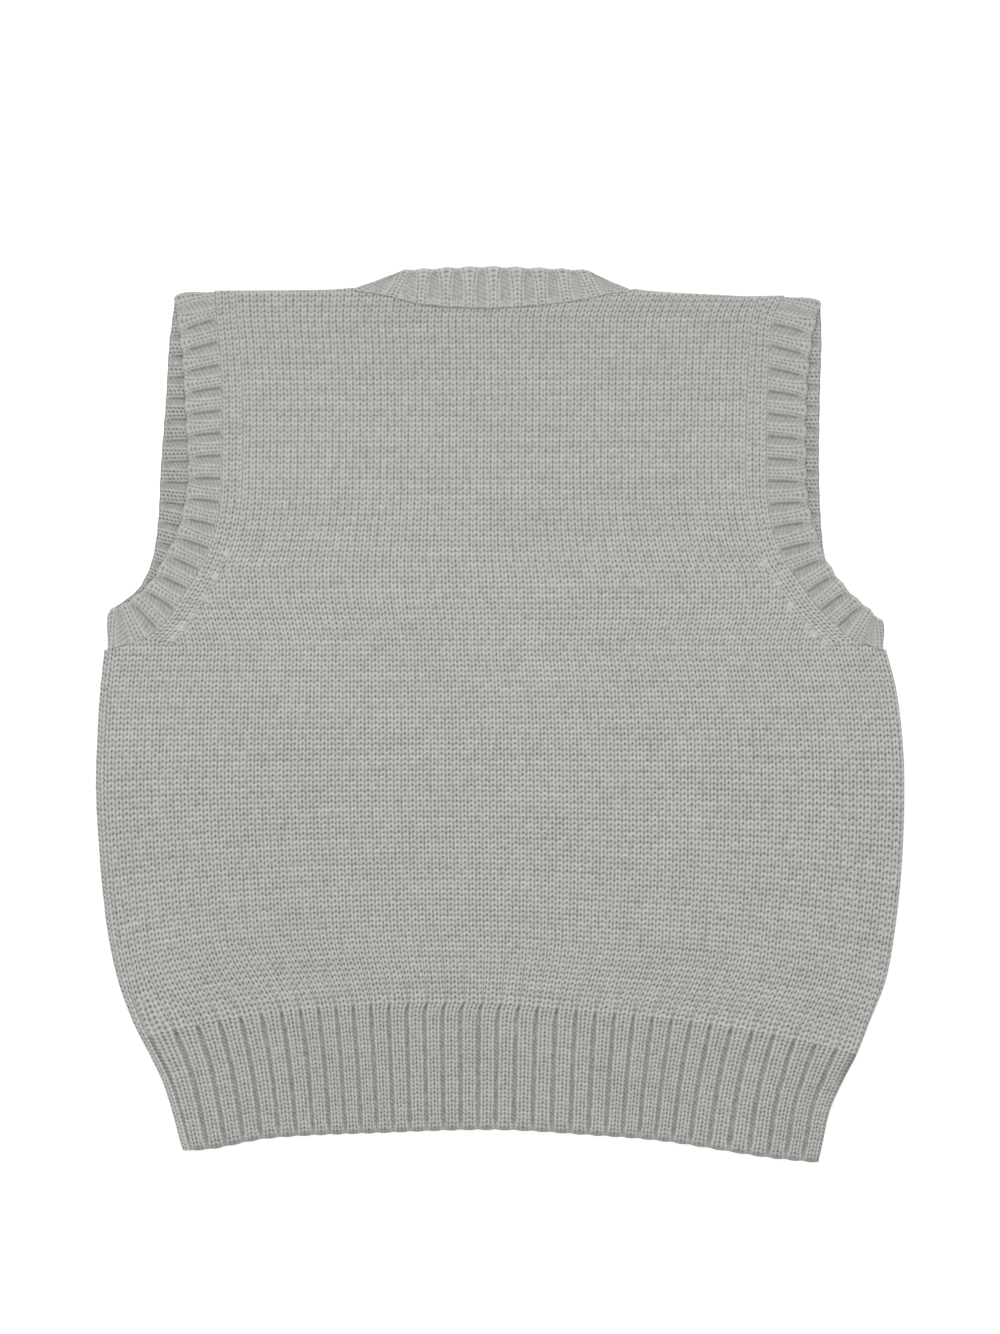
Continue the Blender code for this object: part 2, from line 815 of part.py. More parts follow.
def front_piece(name, outline, low, high, material):
    """A flat front piece with its left side turned up between two heights."""
    low += TURN_END
    high -= TURN_END
    lines = side_turn_lines(low, high)
    return cloth_wall(name, outline, front_over(low, high), on_plane, FLAT_STEP, material, lines)


def build_vest():
    """Make every piece of the vest."""
    back_yarn = yarn("back yarn", "stockinette")
    cloth_wall("back_panel", panel_outline(False), back_over, back_under, PANEL_STEP, back_yarn)
    back_hem()
    corner = hem_corner("left").y
    front_yarn = yarn("front yarn", "stockinette")
    front_piece("front_panel", panel_outline(True), corner, SIDES[-1].y, front_yarn)
    foot = CAST_ON_EDGE[0].y + FRONT_HEM_SHORT
    front_piece("front_hem_rib", front_hem_outline(), foot, corner, yarn("front hem yarn", "rib"))
    neck_front = (NECK_FRONT_RIGHT, NECK_FRONT_LEFT)
    band("neckband", NECK_BACK, neck_front, NECK_PITCH, False, yarn("neckband yarn", "band"))
    left_yarn, right_yarn = yarn("left band yarn", "band"), yarn("right band yarn", "band")
    band("armhole_band_left", LEFT_BACK, (LEFT_FRONT,), BAND_PITCH, True, left_yarn)
    band("armhole_band_right", RIGHT_BACK, (RIGHT_FRONT,), BAND_PITCH, True, right_yarn)


clear_scene()
build_vest()
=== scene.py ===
"""Knitted sweater vest, lying flat with its back up.

Every knitted piece is laid stitch by stitch over the form of its solid. A
stitch is one wale wide and one course high, and its two legs lean towards the
middle of the wale. Sizes are in millimetres until the meshes are made.
"""

from __future__ import annotations

import logging
import math
from dataclasses import dataclass, field, fields
from enum import Enum
from typing import Callable, NamedTuple, Sequence

import bpy
import numpy as np
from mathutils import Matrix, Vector
from mathutils.geometry import delaunay_2d_cdt


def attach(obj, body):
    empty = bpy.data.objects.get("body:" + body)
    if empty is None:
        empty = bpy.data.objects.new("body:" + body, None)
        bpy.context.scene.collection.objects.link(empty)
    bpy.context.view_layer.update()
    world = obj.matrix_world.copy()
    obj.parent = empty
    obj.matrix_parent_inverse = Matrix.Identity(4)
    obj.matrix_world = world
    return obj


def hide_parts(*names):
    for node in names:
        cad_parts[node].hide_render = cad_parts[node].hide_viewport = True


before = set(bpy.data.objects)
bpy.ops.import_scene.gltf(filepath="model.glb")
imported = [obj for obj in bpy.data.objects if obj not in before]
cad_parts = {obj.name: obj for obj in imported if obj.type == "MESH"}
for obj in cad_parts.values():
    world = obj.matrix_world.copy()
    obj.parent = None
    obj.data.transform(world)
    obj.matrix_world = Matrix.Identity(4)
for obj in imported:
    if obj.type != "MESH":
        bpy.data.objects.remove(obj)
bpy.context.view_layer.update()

LOG = logging.getLogger("vest")
Array = np.ndarray
MM = 0.001

# Cloth, in millimetres
WALL = 2.4
SEAM_GAP = 0.3
LAYER_GAP = 0.3
BACK_LEVEL = WALL + LAYER_GAP
RIB_CREST = 3.1
RIB_TOP = RIB_CREST + 0.15  # stitches stand a little over the solid's crest
SIDE_TURN = 5.5  # how far the front comes round over the left side

# Gauge
WALE = 4.7
COURSE = 3.38
BODY_WALES = 109
ARM_WALES = 15  # wales that end at each armhole
BOUND_OFF = 5  # of those, the ones bound off at once
EDGE_WALES = 3  # wales that run along the armhole, outside the decreases
PURL_HALF = 0.12  # half of a purl wale of the hem, in ribs
SEED = 11


class Side(NamedTuple):
    """The whole outline at one height."""

    y: float
    left: float
    right: float


SIDES = (
    Side(-291.0, -203.6, 206.6),
    Side(-277.0, -208.0, 209.6),
    Side(-257.0, -213.3, 214.2),
    Side(-237.5, -219.7, 222.8),
    Side(-221.0, -227.6, 231.2),
    Side(-200.0, -238.3, 239.6),
    Side(-172.5, -248.3, 250.4),
    Side(-140.0, -255.2, 256.4),
    Side(-98.0, -259.8, 260.9),
    Side(-49.0, -262.6, 262.6),
    Side(-16.5, -261.9, 261.4),
    Side(16.0, -260.0, 257.4),
    Side(42.0, -257.0, 250.8),
)


class Point(NamedTuple):
    """A place on a crosswise curve."""

    x: float
    y: float


HEM_SEAM = (
    Point(-236.0, -210.5),
    Point(-197.0, -201.2),
    Point(-144.0, -192.7),
    Point(-65.0, -187.0),
    Point(0.0, -187.5),
    Point(50.0, -191.8),
    Point(100.0, -196.0),
    Point(149.0, -202.5),
    Point(200.0, -212.2),
    Point(234.0, -221.5),
)
CAST_ON_EDGE = (
    Point(-206.0, -283.2),
    Point(-186.0, -281.6),
    Point(-149.0, -274.8),
    Point(-79.0, -271.4),
    Point(-3.0, -269.4),
    Point(57.0, -272.7),
    Point(106.0, -276.8),
    Point(174.0, -287.4),
    Point(209.0, -290.9),
)
SHOULDER_LEFT = (Point(-98.0, 275.8), Point(-140.0, 275.6), Point(-185.0, 275.4))
SHOULDER_RIGHT = (Point(184.0, 272.2), Point(160.0, 271.7), Point(126.0, 273.4), Point(88.0, 275.2))


class Trough(NamedTuple):
    """Where one numbered purl trough meets the hem seam and the cast-on edge."""

    rib: int
    at_seam: float
    at_edge: float


HEM_FAN = (
    Trough(-1, -230.0, -198.5),
    Trough(0, -212.6, -187.5),
    Trough(3, -169.3, -153.4),
    Trough(6, -130.0, -120.3),
    Trough(11, -73.1, -68.9),
    Trough(17, -2.0, -2.9),
    Trough(22, 61.4, 57.2),
    Trough(28, 135.9, 122.9),
    Trough(32, 189.8, 173.6),
    Trough(35, 230.0, 207.0),
)
SIDE_HOLD = 6


class Rung(NamedTuple):
    """A section of a band, from its seam to its free edge. Tables run from fold to fold."""

    seam_x: float
    seam_y: float
    free_x: float
    free_y: float


LEFT_BACK = (
    Rung(-185.3, 273.6, -211.2, 270.2),
    Rung(-184.3, 258.0, -208.4, 250.5),
    Rung(-182.0, 236.0, -206.2, 231.0),
    Rung(-180.3, 205.0, -204.5, 202.0),
    Rung(-180.5, 160.0, -202.5, 160.0),
    Rung(-181.6, 136.0, -204.3, 139.5),
    Rung(-187.0, 111.5, -209.0, 119.5),
    Rung(-195.5, 93.0, -217.0, 103.5),
    Rung(-206.3, 76.0, -226.0, 87.0),
    Rung(-217.0, 60.0, -236.0, 77.5),
    Rung(-230.5, 49.5, -243.2, 72.3),
    Rung(-253.9, 42.8, -251.4, 68.9),
)
LEFT_FRONT = (
    Rung(-253.9, 42.8, -251.4, 68.9),
    Rung(-235.0, 50.0, -240.5, 76.6),
    Rung(-216.0, 68.0, -233.2, 84.2),
    Rung(-204.0, 92.0, -225.8, 101.0),
    Rung(-199.5, 122.0, -222.0, 127.0),
    Rung(-197.5, 160.0, -220.4, 160.0),
    Rung(-194.0, 205.0, -217.0, 205.0),
    Rung(-190.0, 240.0, -215.0, 240.0),
    Rung(-186.5, 258.0, -213.0, 256.0),
    Rung(-185.3, 273.6, -211.2, 270.2),
)
RIGHT_BACK = (
    Rung(183.8, 270.5, 208.0, 266.2),
    Rung(177.0, 257.0, 203.8, 250.5),
    Rung(175.0, 238.0, 200.9, 232.0),
    Rung(173.4, 206.0, 198.9, 202.5),
    Rung(172.9, 150.0, 198.9, 150.0),
    Rung(175.4, 127.0, 201.3, 131.0),
    Rung(182.6, 103.5, 207.3, 111.0),
    Rung(193.4, 87.0, 213.4, 98.0),
    Rung(204.0, 72.0, 221.4, 86.2),
    Rung(214.0, 62.0, 231.0, 75.8),
    Rung(225.5, 51.3, 238.8, 69.4),
    Rung(247.8, 42.2, 245.9, 62.0),
)
RIGHT_FRONT = (
    Rung(247.8, 42.2, 245.9, 62.0),
    Rung(228.0, 50.5, 234.5, 71.0),
    Rung(211.0, 62.0, 223.2, 81.6),
    Rung(196.5, 80.0, 214.0, 94.8),
    Rung(187.5, 104.0, 210.0, 108.5),
    Rung(184.0, 150.0, 207.4, 150.0),
    Rung(183.4, 205.0, 207.8, 205.0),
    Rung(183.8, 240.0, 208.8, 240.0),
    Rung(184.0, 256.0, 208.6, 254.0),
    Rung(183.8, 270.5, 208.0, 266.2),
)
NECK_BACK = (
    Rung(-93.5, 275.0, -69.0, 285.4),
    Rung(-75.0, 272.3, -63.5, 288.2),
    Rung(-52.0, 266.6, -50.0, 289.2),
    Rung(-10.0, 263.8, -10.0, 290.7),
    Rung(30.0, 266.2, 28.0, 289.7),
    Rung(56.0, 269.8, 50.0, 288.8),
    Rung(70.0, 273.0, 58.0, 288.0),
    Rung(83.5, 274.2, 62.0, 285.2),
)
V_POINT = Point(-6.0, 80.0)
V_MITRE = 56.0
NECK_FRONT_RIGHT = (
    Rung(83.5, 274.2, 62.0, 285.2),
    Rung(78.0, 248.0, 54.5, 254.0),
    Rung(54.0, 190.0, 31.5, 199.5),
    Rung(26.0, 135.0, 9.5, 160.0),
    Rung(V_POINT.x, V_POINT.y, V_POINT.x, V_POINT.y + V_MITRE),
)
NECK_FRONT_LEFT = (
    Rung(V_POINT.x, V_POINT.y, V_POINT.x, V_POINT.y + V_MITRE),
    Rung(-38.0, 135.0, -21.5, 160.0),
    Rung(-65.0, 190.0, -42.5, 199.5),
    Rung(-88.0, 248.0, -64.5, 254.0),
    Rung(-93.5, 275.0, -69.0, 285.4),
)


class Puff(NamedTuple):
    """How far the back is puffed up over the front at one height on the garment."""

    y: float
    lift: float


PUFFS = (
    Puff(-225.0, 0.0),
    Puff(-190.0, 0.6),
    Puff(-150.0, 2.2),
    Puff(-60.0, 3.0),
    Puff(40.0, 3.0),
    Puff(120.0, 1.7),
    Puff(220.0, 1.1),
    Puff(262.0, 0.3),
    Puff(292.0, 0.0),
)
PUFF_REACH = 32.0  # how far in from a side the back reaches its full height
MOST_LIFT = 3.5


class Crease(NamedTuple):
    """A soft crease of the back: a positive rise is a ridge, a negative one a trough."""

    x: float
    y: float
    length: float
    width: float
    turn: float
    rise: float


CREASES = (
    Crease(-127.0, 117.0, 98.0, 26.0, 11.0, -1.0),
    Crease(62.0, 111.0, 84.0, 26.0, 0.0, -1.1),
    Crease(140.0, -59.0, 150.0, 34.0, 0.0, -0.9),
    Crease(104.0, -124.0, 66.0, 26.0, 32.0, -0.9),
    Crease(141.0, -160.0, 58.0, 26.0, 45.0, -0.9),
    Crease(198.0, -168.0, 44.0, 34.0, 30.0, -0.9),
    Crease(-46.0, 230.0, 60.0, 50.0, 20.0, -0.6),
    Crease(-172.0, 22.0, 110.0, 80.0, 0.0, 0.5),
    Crease(-65.0, 3.0, 120.0, 70.0, 0.0, 0.4),
    Crease(130.0, 9.0, 120.0, 70.0, 0.0, 0.5),
)


# Curves


class Curve:
    """A smooth curve through a table of keys and values."""

    def __init__(self, keys: Sequence[float], values: Sequence) -> None:
        """Keep the table and the slope at each of its rows.

        Args:
            keys: rising keys.
            values: a number or a row of numbers for each key.
        """
        self.keys = np.asarray(keys, float)
        self.values = np.asarray(values, float)
        last = len(self.keys) - 1
        low = np.maximum(np.arange(last + 1) - 1, 0)
        high = np.minimum(np.arange(last + 1) + 1, last)
        span = self.keys[high] - self.keys[low]
        rise = self.values[high] - self.values[low]
        self.slopes = rise / (span if rise.ndim == 1 else span[:, None])

    def __call__(self, at: Array | float) -> Array:
        """Read the curve.

        Args:
            at: one key or an array of keys.

        Returns:
            The values there, with a last axis for rows of numbers.
        """
        at = np.asarray(at, float)
        i = np.clip(np.searchsorted(self.keys, at, side="left") - 1, 0, len(self.keys) - 2)
        span = self.keys[i + 1] - self.keys[i]
        t = (at - self.keys[i]) / span
        if self.values.ndim > 1:
            t, span = t[..., None], span[..., None]
        return (
            self.values[i] * (2 * t**3 - 3 * t**2 + 1)
            + self.slopes[i] * span * (t**3 - 2 * t**2 + t)
            + self.values[i + 1] * (3 * t**2 - 2 * t**3)
            + self.slopes[i + 1] * span * (t**3 - t**2)
        )


def fade(share: Array | float) -> Array:
    """0 to 1 with level ends."""
    share = np.clip(share, 0.0, 1.0)
    return share * share * (3 - 2 * share)


def mixed(start: Array | float, end: Array | float, share: Array | float) -> Array:
    """A value part of the way from start to end."""
    return start * (1 - share) + end * share


def curve_of(rows: Sequence[NamedTuple], column: int = 1) -> Curve:
    """A curve through one column of a table, by the table's first column."""
    table = np.asarray(rows, float)
    return Curve(table[:, 0], table[:, column])


LEFT_SIDE, RIGHT_SIDE = curve_of(SIDES, 1), curve_of(SIDES, 2)
SEAM_Y, EDGE_Y = curve_of(HEM_SEAM), curve_of(CAST_ON_EDGE)
FAN_SEAM, FAN_EDGE = curve_of(HEM_FAN, 1), curve_of(HEM_FAN, 2)
PUFF_LIFT = curve_of(PUFFS)
FIRST_RIB, LAST_RIB = HEM_FAN[0].rib, HEM_FAN[-1].rib
UNDERARM = SIDES[-1].y


def left_side(y: Array) -> Array:
    """The outline's left side, straight up from the underarm."""
    return LEFT_SIDE(np.clip(y, SIDES[0].y, UNDERARM))


def right_side(y: Array) -> Array:
    """The outline's right side, straight up from the underarm."""
    return RIGHT_SIDE(np.clip(y, SIDES[0].y, UNDERARM))


def back_lift(x: Array, y: Array) -> Array:
    """How far the back lies above its resting level.

    Args:
        x: places across.
        y: places up the vest.

    Returns:
        The lift at each place.
    """
    room = np.minimum(x - left_side(y), right_side(y) - x)
    lift = PUFF_LIFT(np.clip(y, PUFFS[0].y, PUFFS[-1].y))
    for crease in CREASES:
        turn = math.radians(crease.turn)
        dx, dy = x - crease.x, y - crease.y
        along = dx * math.cos(turn) + dy * math.sin(turn)
        across = dy * math.cos(turn) - dx * math.sin(turn)
        spread = (along / (crease.length / 2)) ** 2 + (across / (crease.width / 2)) ** 2
        lift = lift + crease.rise * np.exp(-spread)
    return np.clip(lift, 0.0, MOST_LIFT) * fade((room - SIDE_TURN) / PUFF_REACH)


def rung_keys(values: Array) -> Array:
    """The length along a band's middle, at each of its sections."""
    move = (values[1:] - values[:-1]) / 2
    return np.concatenate([[0.0], np.cumsum(np.hypot(move[:, 0] + move[:, 2], move[:, 1] + move[:, 3]))])


def rungs_between(rows: Sequence[Rung], count: int) -> Array:
    """Smooth sections through a band table.

    Args:
        rows: the table.
        count: how many equal steps to make along the band's middle.

    Returns:
        An array of count + 1 rows with the seam's and the free edge's x and y.
    """
    values = np.asarray(rows, float)
    keys = rung_keys(values)
    return Curve(keys, values)(np.linspace(0.0, keys[-1], count + 1))


def length_of(points: Array) -> Array:
    """The length along a row of points, at each of them."""
    steps = np.linalg.norm(np.diff(points, axis=0), axis=1)
    return np.concatenate([[0.0], np.cumsum(steps)])


# Stitches


class Kind(Enum):
    """The two kinds of stitch, seen from one side of the fabric."""

    KNIT = 0
    PURL = 1


@dataclass(frozen=True)
class Relief:
    """How far the points of a stitch lie below the top of the fabric, in millimetres."""

    notch: float = 0.34  # between two legs of one column
    hole: float = 1.25  # beside a leg, where two courses meet
    between: float = 0.22  # between two wales, in the middle of a course
    inside: float = 0.28  # between the two legs of a stitch, in the middle of a course
    recess: float = 1.5  # of a purl in a rib
    bump: float = 0.75  # of a purl's bar
    dusk: float = 0.5  # how shaded a purl is beside its bar
    dim_between: float = 0.16  # how shaded the fabric is between two wales, in the middle of a course
    dim_inside: float = 0.28  # and between the two legs of a stitch
    contrast: float = 1.0  # of all shading
    uneven: float = 0.09  # from stitch to stitch
    lean: float = 0.45  # courses that a leg runs down from its outer to its inner end


@dataclass
class Columns:
    """The columns of points of a row of stitches, four to a wale and one to close it."""

    wale: Array
    lean: Array
    leg: Array  # 1 on a leg
    middle: Array  # 1 in the middle of a wale, 0 at its edges
    purl: Array
    stroke: Array  # courses that a purl's bar slants by, up to here
    place: Array

    def cut(self, first: int, last: int) -> Columns:
        """The columns of a range of wales."""
        span = slice(4 * first, 4 * last + 1)
        return Columns(*(getattr(self, part.name)[span] for part in fields(self)))


def columns_of(kinds: Sequence[Kind], edges: Sequence[float], relief: Relief, closed: bool = False) -> Columns:
    """Lay out the columns of a row of stitches.

    Args:
        kinds: the kind of each wale.
        edges: the place of each wale's edge, one more than there are wales.
        relief: the lean of the legs.
        closed: True where the last wale meets the first.

    Returns:
        The columns.
    """
    n = len(kinds)
    edges = np.asarray(edges, float)
    purl = np.array([float(kind is Kind.PURL) for kind in kinds])
    quarter = np.tile([0.0, 0.25, 0.5, 0.75], n)
    index = np.repeat(np.arange(n), 4)
    middle = 1 - np.abs(quarter - 0.5) * 2
    lean = relief.lean * (1 - purl[index]) * middle
    leg = np.tile([0.0, 1.0, 0.0, 1.0], n)
    place = edges[index] + quarter * (edges[1:] - edges[:-1])[index]
    soft = purl[index].copy()
    before = np.roll(purl, 1) if closed else np.concatenate([purl[:1], purl[:-1]])
    soft[::4] = np.where(purl + before == 1, 0.7, purl)
    leg[::4] = np.where(purl + before == 1, 0.4, 0.0)
    second = (purl * before)[index]
    paired = (purl * np.maximum(before, np.roll(purl, -1)))[index]
    stroke = mixed(0.7 * quarter, (second + quarter) / 2, paired)
    found = [index + quarter, lean, leg, middle, soft, stroke, place]
    if not closed:
        ends = (float(n), 0.0, 0.0, 0.0, purl[-1], 0.0, edges[-1])
        found = [np.append(part, end) for part, end in zip(found, ends)]
    return Columns(*found)


class Uneven:
    """Small steady differences between stitches, the same for a column wherever it is laid."""

    def __init__(self) -> None:
        """Fill the table of differences from a fixed seed."""
        self.table = np.random.default_rng(SEED).normal(0.0, 1.0, (3, 1024, 512)).clip(-2.0, 2.0)

    def read(self, which: int, wale: Array, course: Array) -> Array:
        """One difference for each point.

        Args:
            which: the table's layer.
            wale: the place across, in wales.
            course: the place along, in courses.

        Returns:
            Differences from -2 to 2.
        """
        i = np.rint(wale * 4).astype(int) % 1024
        j = np.floor(course + 1e-6).astype(int) % 512
        return self.table[which, i, j]

    def drift(self, wale: Array, course: Array) -> Array:
        """One slow difference for each point: it changes from course to course and over some ten wales.

        Args:
            wale: the place across, in wales.
            course: the place along, in courses.

        Returns:
            Differences from about -2 to 2.
        """
        i = wale / 9.0
        low = np.floor(i).astype(int)
        j = np.floor(course + 1e-6).astype(int) % 512
        return mixed(self.table[2, (low + 600) % 1024, j], self.table[2, (low + 601) % 1024, j], fade(i - low))


UNEVEN = Uneven()


@dataclass
class Patch:
    """A lattice of stitch points whose columns each have their own ends."""

    column: Array
    course: Array  # along the leg, where whole numbers are notches
    v: Array  # along the fabric
    first: Array  # index of each column's first point
    last: Array
    faces: list[Array]

    def loop(self) -> Array:
        """The way round an open patch, anticlockwise from its first column's foot.

        Returns:
            The indices of its points.
        """
        right = np.arange(self.first[-1] + 1, self.last[-1])
        left = np.arange(self.last[0] - 1, self.first[0], -1)
        return np.concatenate([self.first, right, self.last[::-1], left])


def knit_patch(columns: Columns, low: Array, high: Array, rows: int, closed: bool = False) -> Patch:
    """Lay stitches in every column, from its low end to its high end.

    Args:
        columns: the columns.
        low: where each column starts, in courses.
        high: where each column ends, in courses.
        rows: rows of points to a course.
        closed: True where the last column meets the first.

    Returns:
        The patch.
    """
    start = np.rint((low + columns.lean) * rows).astype(int)
    stop = np.maximum(np.rint((high + columns.lean) * rows).astype(int), start + 1)
    count = stop - start + 1
    first = np.concatenate([[0], np.cumsum(count)[:-1]])
    last = first + count - 1
    column = np.repeat(np.arange(len(start)), count)
    row = np.arange(count.sum()) - np.repeat(first, count) + np.repeat(start, count)
    course = row / rows
    jitter = 0.055 * UNEVEN.read(0, columns.wale[column], course)
    v = course - columns.lean[column] + jitter
    v[first], v[last] = low, high
    grid = np.arange(start.min(), stop.max() + 1)
    index = first[:, None] + np.clip(grid[None, :], start[:, None], stop[:, None]) - start[:, None]
    if closed:
        index = np.vstack([index, index[:1]])
    a, b, c, d = index[:-1, :-1], index[1:, :-1], index[1:, 1:], index[:-1, 1:]
    left_open, right_open = a != d, b != c
    both = left_open & right_open
    quads = np.stack([a[both], b[both], c[both], d[both]], axis=1)
    one = left_open & ~right_open
    other = right_open & ~left_open
    threes = np.concatenate(
        [np.stack([a[one], b[one], d[one]], axis=1), np.stack([a[other], b[other], c[other]], axis=1)]
    )
    return Patch(column, course, v, first, last, [quads, threes])


@dataclass
class Surface:
    """The stitches of a patch: how deep and how shaded each of its points is."""

    columns: Columns
    patch: Patch
    relief: Relief
    recess: Array | float = 0.0  # how deep the purls lie
    parted: Array | float = 0.0  # 0 for wales that lie close together, 1 for wales that are pulled apart

    def __post_init__(self) -> None:
        """Find where each point lies in its stitch."""
        column, course = self.patch.column, self.patch.course
        phase = course - np.floor(course + 1e-6)
        self.wale = self.columns.wale[column]
        self.leg, self.middle = self.columns.leg[column], self.columns.middle[column]
        # 1 where two courses meet and 0 in the middle of one
        self.notch = np.abs(2 * phase - 1) ** 1.6
        # 1 on a purl's bar
        self.bar = np.cos(2 * np.pi * (phase + self.columns.stroke[column] - 0.35)) / 2 + 0.5
        # How much of a purl shows: none where the rib hasn't started yet
        self.purl = self.columns.purl[column] * np.clip(np.asarray(self.recess) / 0.5, 0.0, 1.0)

    def depth(self) -> Array:
        """How far each point lies below the top of the fabric.

        Returns:
            Depths in millimetres.
        """
        relief = self.relief
        vigour = 1 + 0.17 * UNEVEN.drift(self.wale, self.patch.course)
        valley = mixed(relief.between + 0.2 * self.parted, relief.inside, self.middle)
        valley = mixed(valley, relief.hole * vigour, self.notch)
        knit = mixed(valley, relief.notch * vigour * self.notch, self.leg)
        back = self.recess + 0.3 - relief.bump * self.bar
        uneven = relief.uneven * UNEVEN.read(1, self.wale, self.patch.course)
        return mixed(knit, back, self.purl) + uneven

    def shade(self) -> Array:
        """How shaded each point is.

        Returns:
            0 on top of a leg to 1 in a hole.
        """
        relief, middle, parted = self.relief, self.middle, self.parted
        dim = mixed(relief.dim_between + 0.2 * parted, relief.dim_inside * (1 - 0.6 * parted), middle)
        valley = mixed(dim, mixed(1.0, 0.84, middle), self.notch)
        knit = mixed(valley, 0.5 * relief.notch * self.notch, self.leg)
        # Painted shade: the deepest purls are evenly dark, and only the others show their bars lighter
        deepest = np.clip((np.asarray(self.recess) - 1.4) / 0.6, 0.0, 1.0)
        purl = mixed(relief.dusk - 0.38 * self.bar, relief.dusk + 0.12, deepest)
        shade = mixed(knit, purl, self.purl) + 0.07 * UNEVEN.read(0, self.wale + 7, self.patch.course)
        return np.clip(shade, 0.0, 1.0) * relief.contrast


# Meshes


@dataclass
class Shell:
    """Points and faces of one piece, gathered island by island."""

    name: str
    points: list[Array] = field(default_factory=list)
    stitch: list[Array] = field(default_factory=list)
    shade: list[Array] = field(default_factory=list)
    faces: list[Array] = field(default_factory=list)
    walls: list[bool] = field(default_factory=list)
    plain: list[Array] = field(default_factory=list)
    size: int = 0

    def add_points(self, points: Array, stitch: Array, shade: Array | float) -> int:
        """Add points.

        Args:
            points: x, y and z in millimetres, one row each.
            stitch: place in the fabric in wales and courses, one row each.
            shade: how shaded each point is.

        Returns:
            The index of the first one.
        """
        start = self.size
        self.points.append(np.column_stack([points[:, :2], np.clip(points[:, 2], 0.0, None)]))
        self.stitch.append(stitch)
        self.shade.append(np.broadcast_to(np.asarray(shade, float), len(points)).copy())
        self.size += len(points)
        return start

    def add_faces(self, faces: Array, start: int = 0, turned: bool = False, wall: bool = False) -> None:
        """Add faces.

        Args:
            faces: indices of their corners, one face a row.
            start: what the indices count from.
            turned: True to turn the faces round.
            wall: True for the cut side of a sheet, which meets the stitches at a sharp edge.
        """
        if len(faces):
            self.faces.append((faces[:, ::-1] if turned else faces) + start)
            self.walls.append(wall)

    def add_strip(
        self, one: Array, other: Array, closed: bool, turned: bool = False, wall: bool = False
    ) -> None:
        """Join two rows of points with faces.

        Args:
            one: indices of the first row.
            other: indices of the second row.
            closed: True where the rows are rings.
            turned: True to turn the faces round.
            wall: True for the cut side of a sheet.
        """
        if closed:
            one, other = np.append(one, one[0]), np.append(other, other[0])
        self.add_faces(np.stack([one[:-1], one[1:], other[1:], other[:-1]], axis=1), 0, turned, wall)

    def add_patch(self, patch: Patch, columns: Columns, points: Array, shade: Array, turned: bool = False) -> int:
        """Add a patch of stitches.

        Args:
            patch: the patch.
            columns: its columns.
            points: x, y and z in millimetres, one row each.
            shade: how shaded each point is.
            turned: True to turn the faces round.

        Returns:
            The index of its first point.
        """
        start = self.add_points(points, np.stack([columns.wale[patch.column], patch.v], axis=1), shade)
        for faces in patch.faces:
            self.add_faces(faces, start, turned)
        return start

    def plain_area(self) -> float:
        """Measure the plain faces.

        Returns:
            Their flat area in square metres.
        """
        points = np.concatenate(self.points)[:, :2] * MM
        total = 0.0
        for faces in self.plain:
            a, b, c = (points[faces[:, i]] for i in range(3))
            twice = (b[:, 0] - a[:, 0]) * (c[:, 1] - a[:, 1]) - (b[:, 1] - a[:, 1]) * (c[:, 0] - a[:, 0])
            total += float(np.abs(twice).sum()) / 2
        return total

    def sharpen(self, mesh: bpy.types.Mesh) -> None:
        """Mark the edges where stitches meet a cut side.

        Args:
            mesh: the mesh that was made from these faces, in their order.
        """
        wall = np.concatenate([np.full(faces.size, kind) for faces, kind in zip(self.faces, self.walls)])
        edge = np.empty(len(mesh.loops), np.int32)
        mesh.loops.foreach_get("edge_index", edge)
        with_wall = np.zeros(len(mesh.edges), bool)
        with_stitch = np.zeros(len(mesh.edges), bool)
        with_wall[edge[wall]] = True
        with_stitch[edge[~wall]] = True
        mesh.edges.foreach_set("use_edge_sharp", with_wall & with_stitch)

    def to_object(self, finish: bpy.types.Material) -> bpy.types.Object:
        """Make the mesh and its object.

        Args:
            finish: the material.

        Returns:
            The object, with its stitch map and its shade attribute.
        """
        points = (np.concatenate(self.points) * MM).tolist()
        faces: list[list[int]] = []
        for group in self.faces:
            faces += group.tolist()
        mesh = bpy.data.meshes.new(self.name)
        mesh.from_pydata(points, [], faces)
        if mesh.validate():
            LOG.warning("%s: some faces were mended", self.name)
        else:
            self.sharpen(mesh)
        mesh.polygons.foreach_set("use_smooth", np.ones(len(mesh.polygons), bool))
        corner = np.empty(len(mesh.loops), np.int32)
        mesh.loops.foreach_get("vertex_index", corner)
        layer = mesh.uv_layers.new(name="stitches")
        layer.uv.foreach_set("vector", np.concatenate(self.stitch)[corner].astype(np.float32).ravel())
        attribute = mesh.attributes.new("shade", "FLOAT", "POINT")
        attribute.data.foreach_set("value", np.concatenate(self.shade).astype(np.float32))
        mesh.materials.append(finish)
        mesh.update()
        piece = bpy.data.objects.new(self.name, mesh)
        bpy.context.scene.collection.objects.link(piece)
        LOG.info("%s: %d triangles", self.name, len(mesh.loops) - 2 * len(mesh.polygons))
        return piece


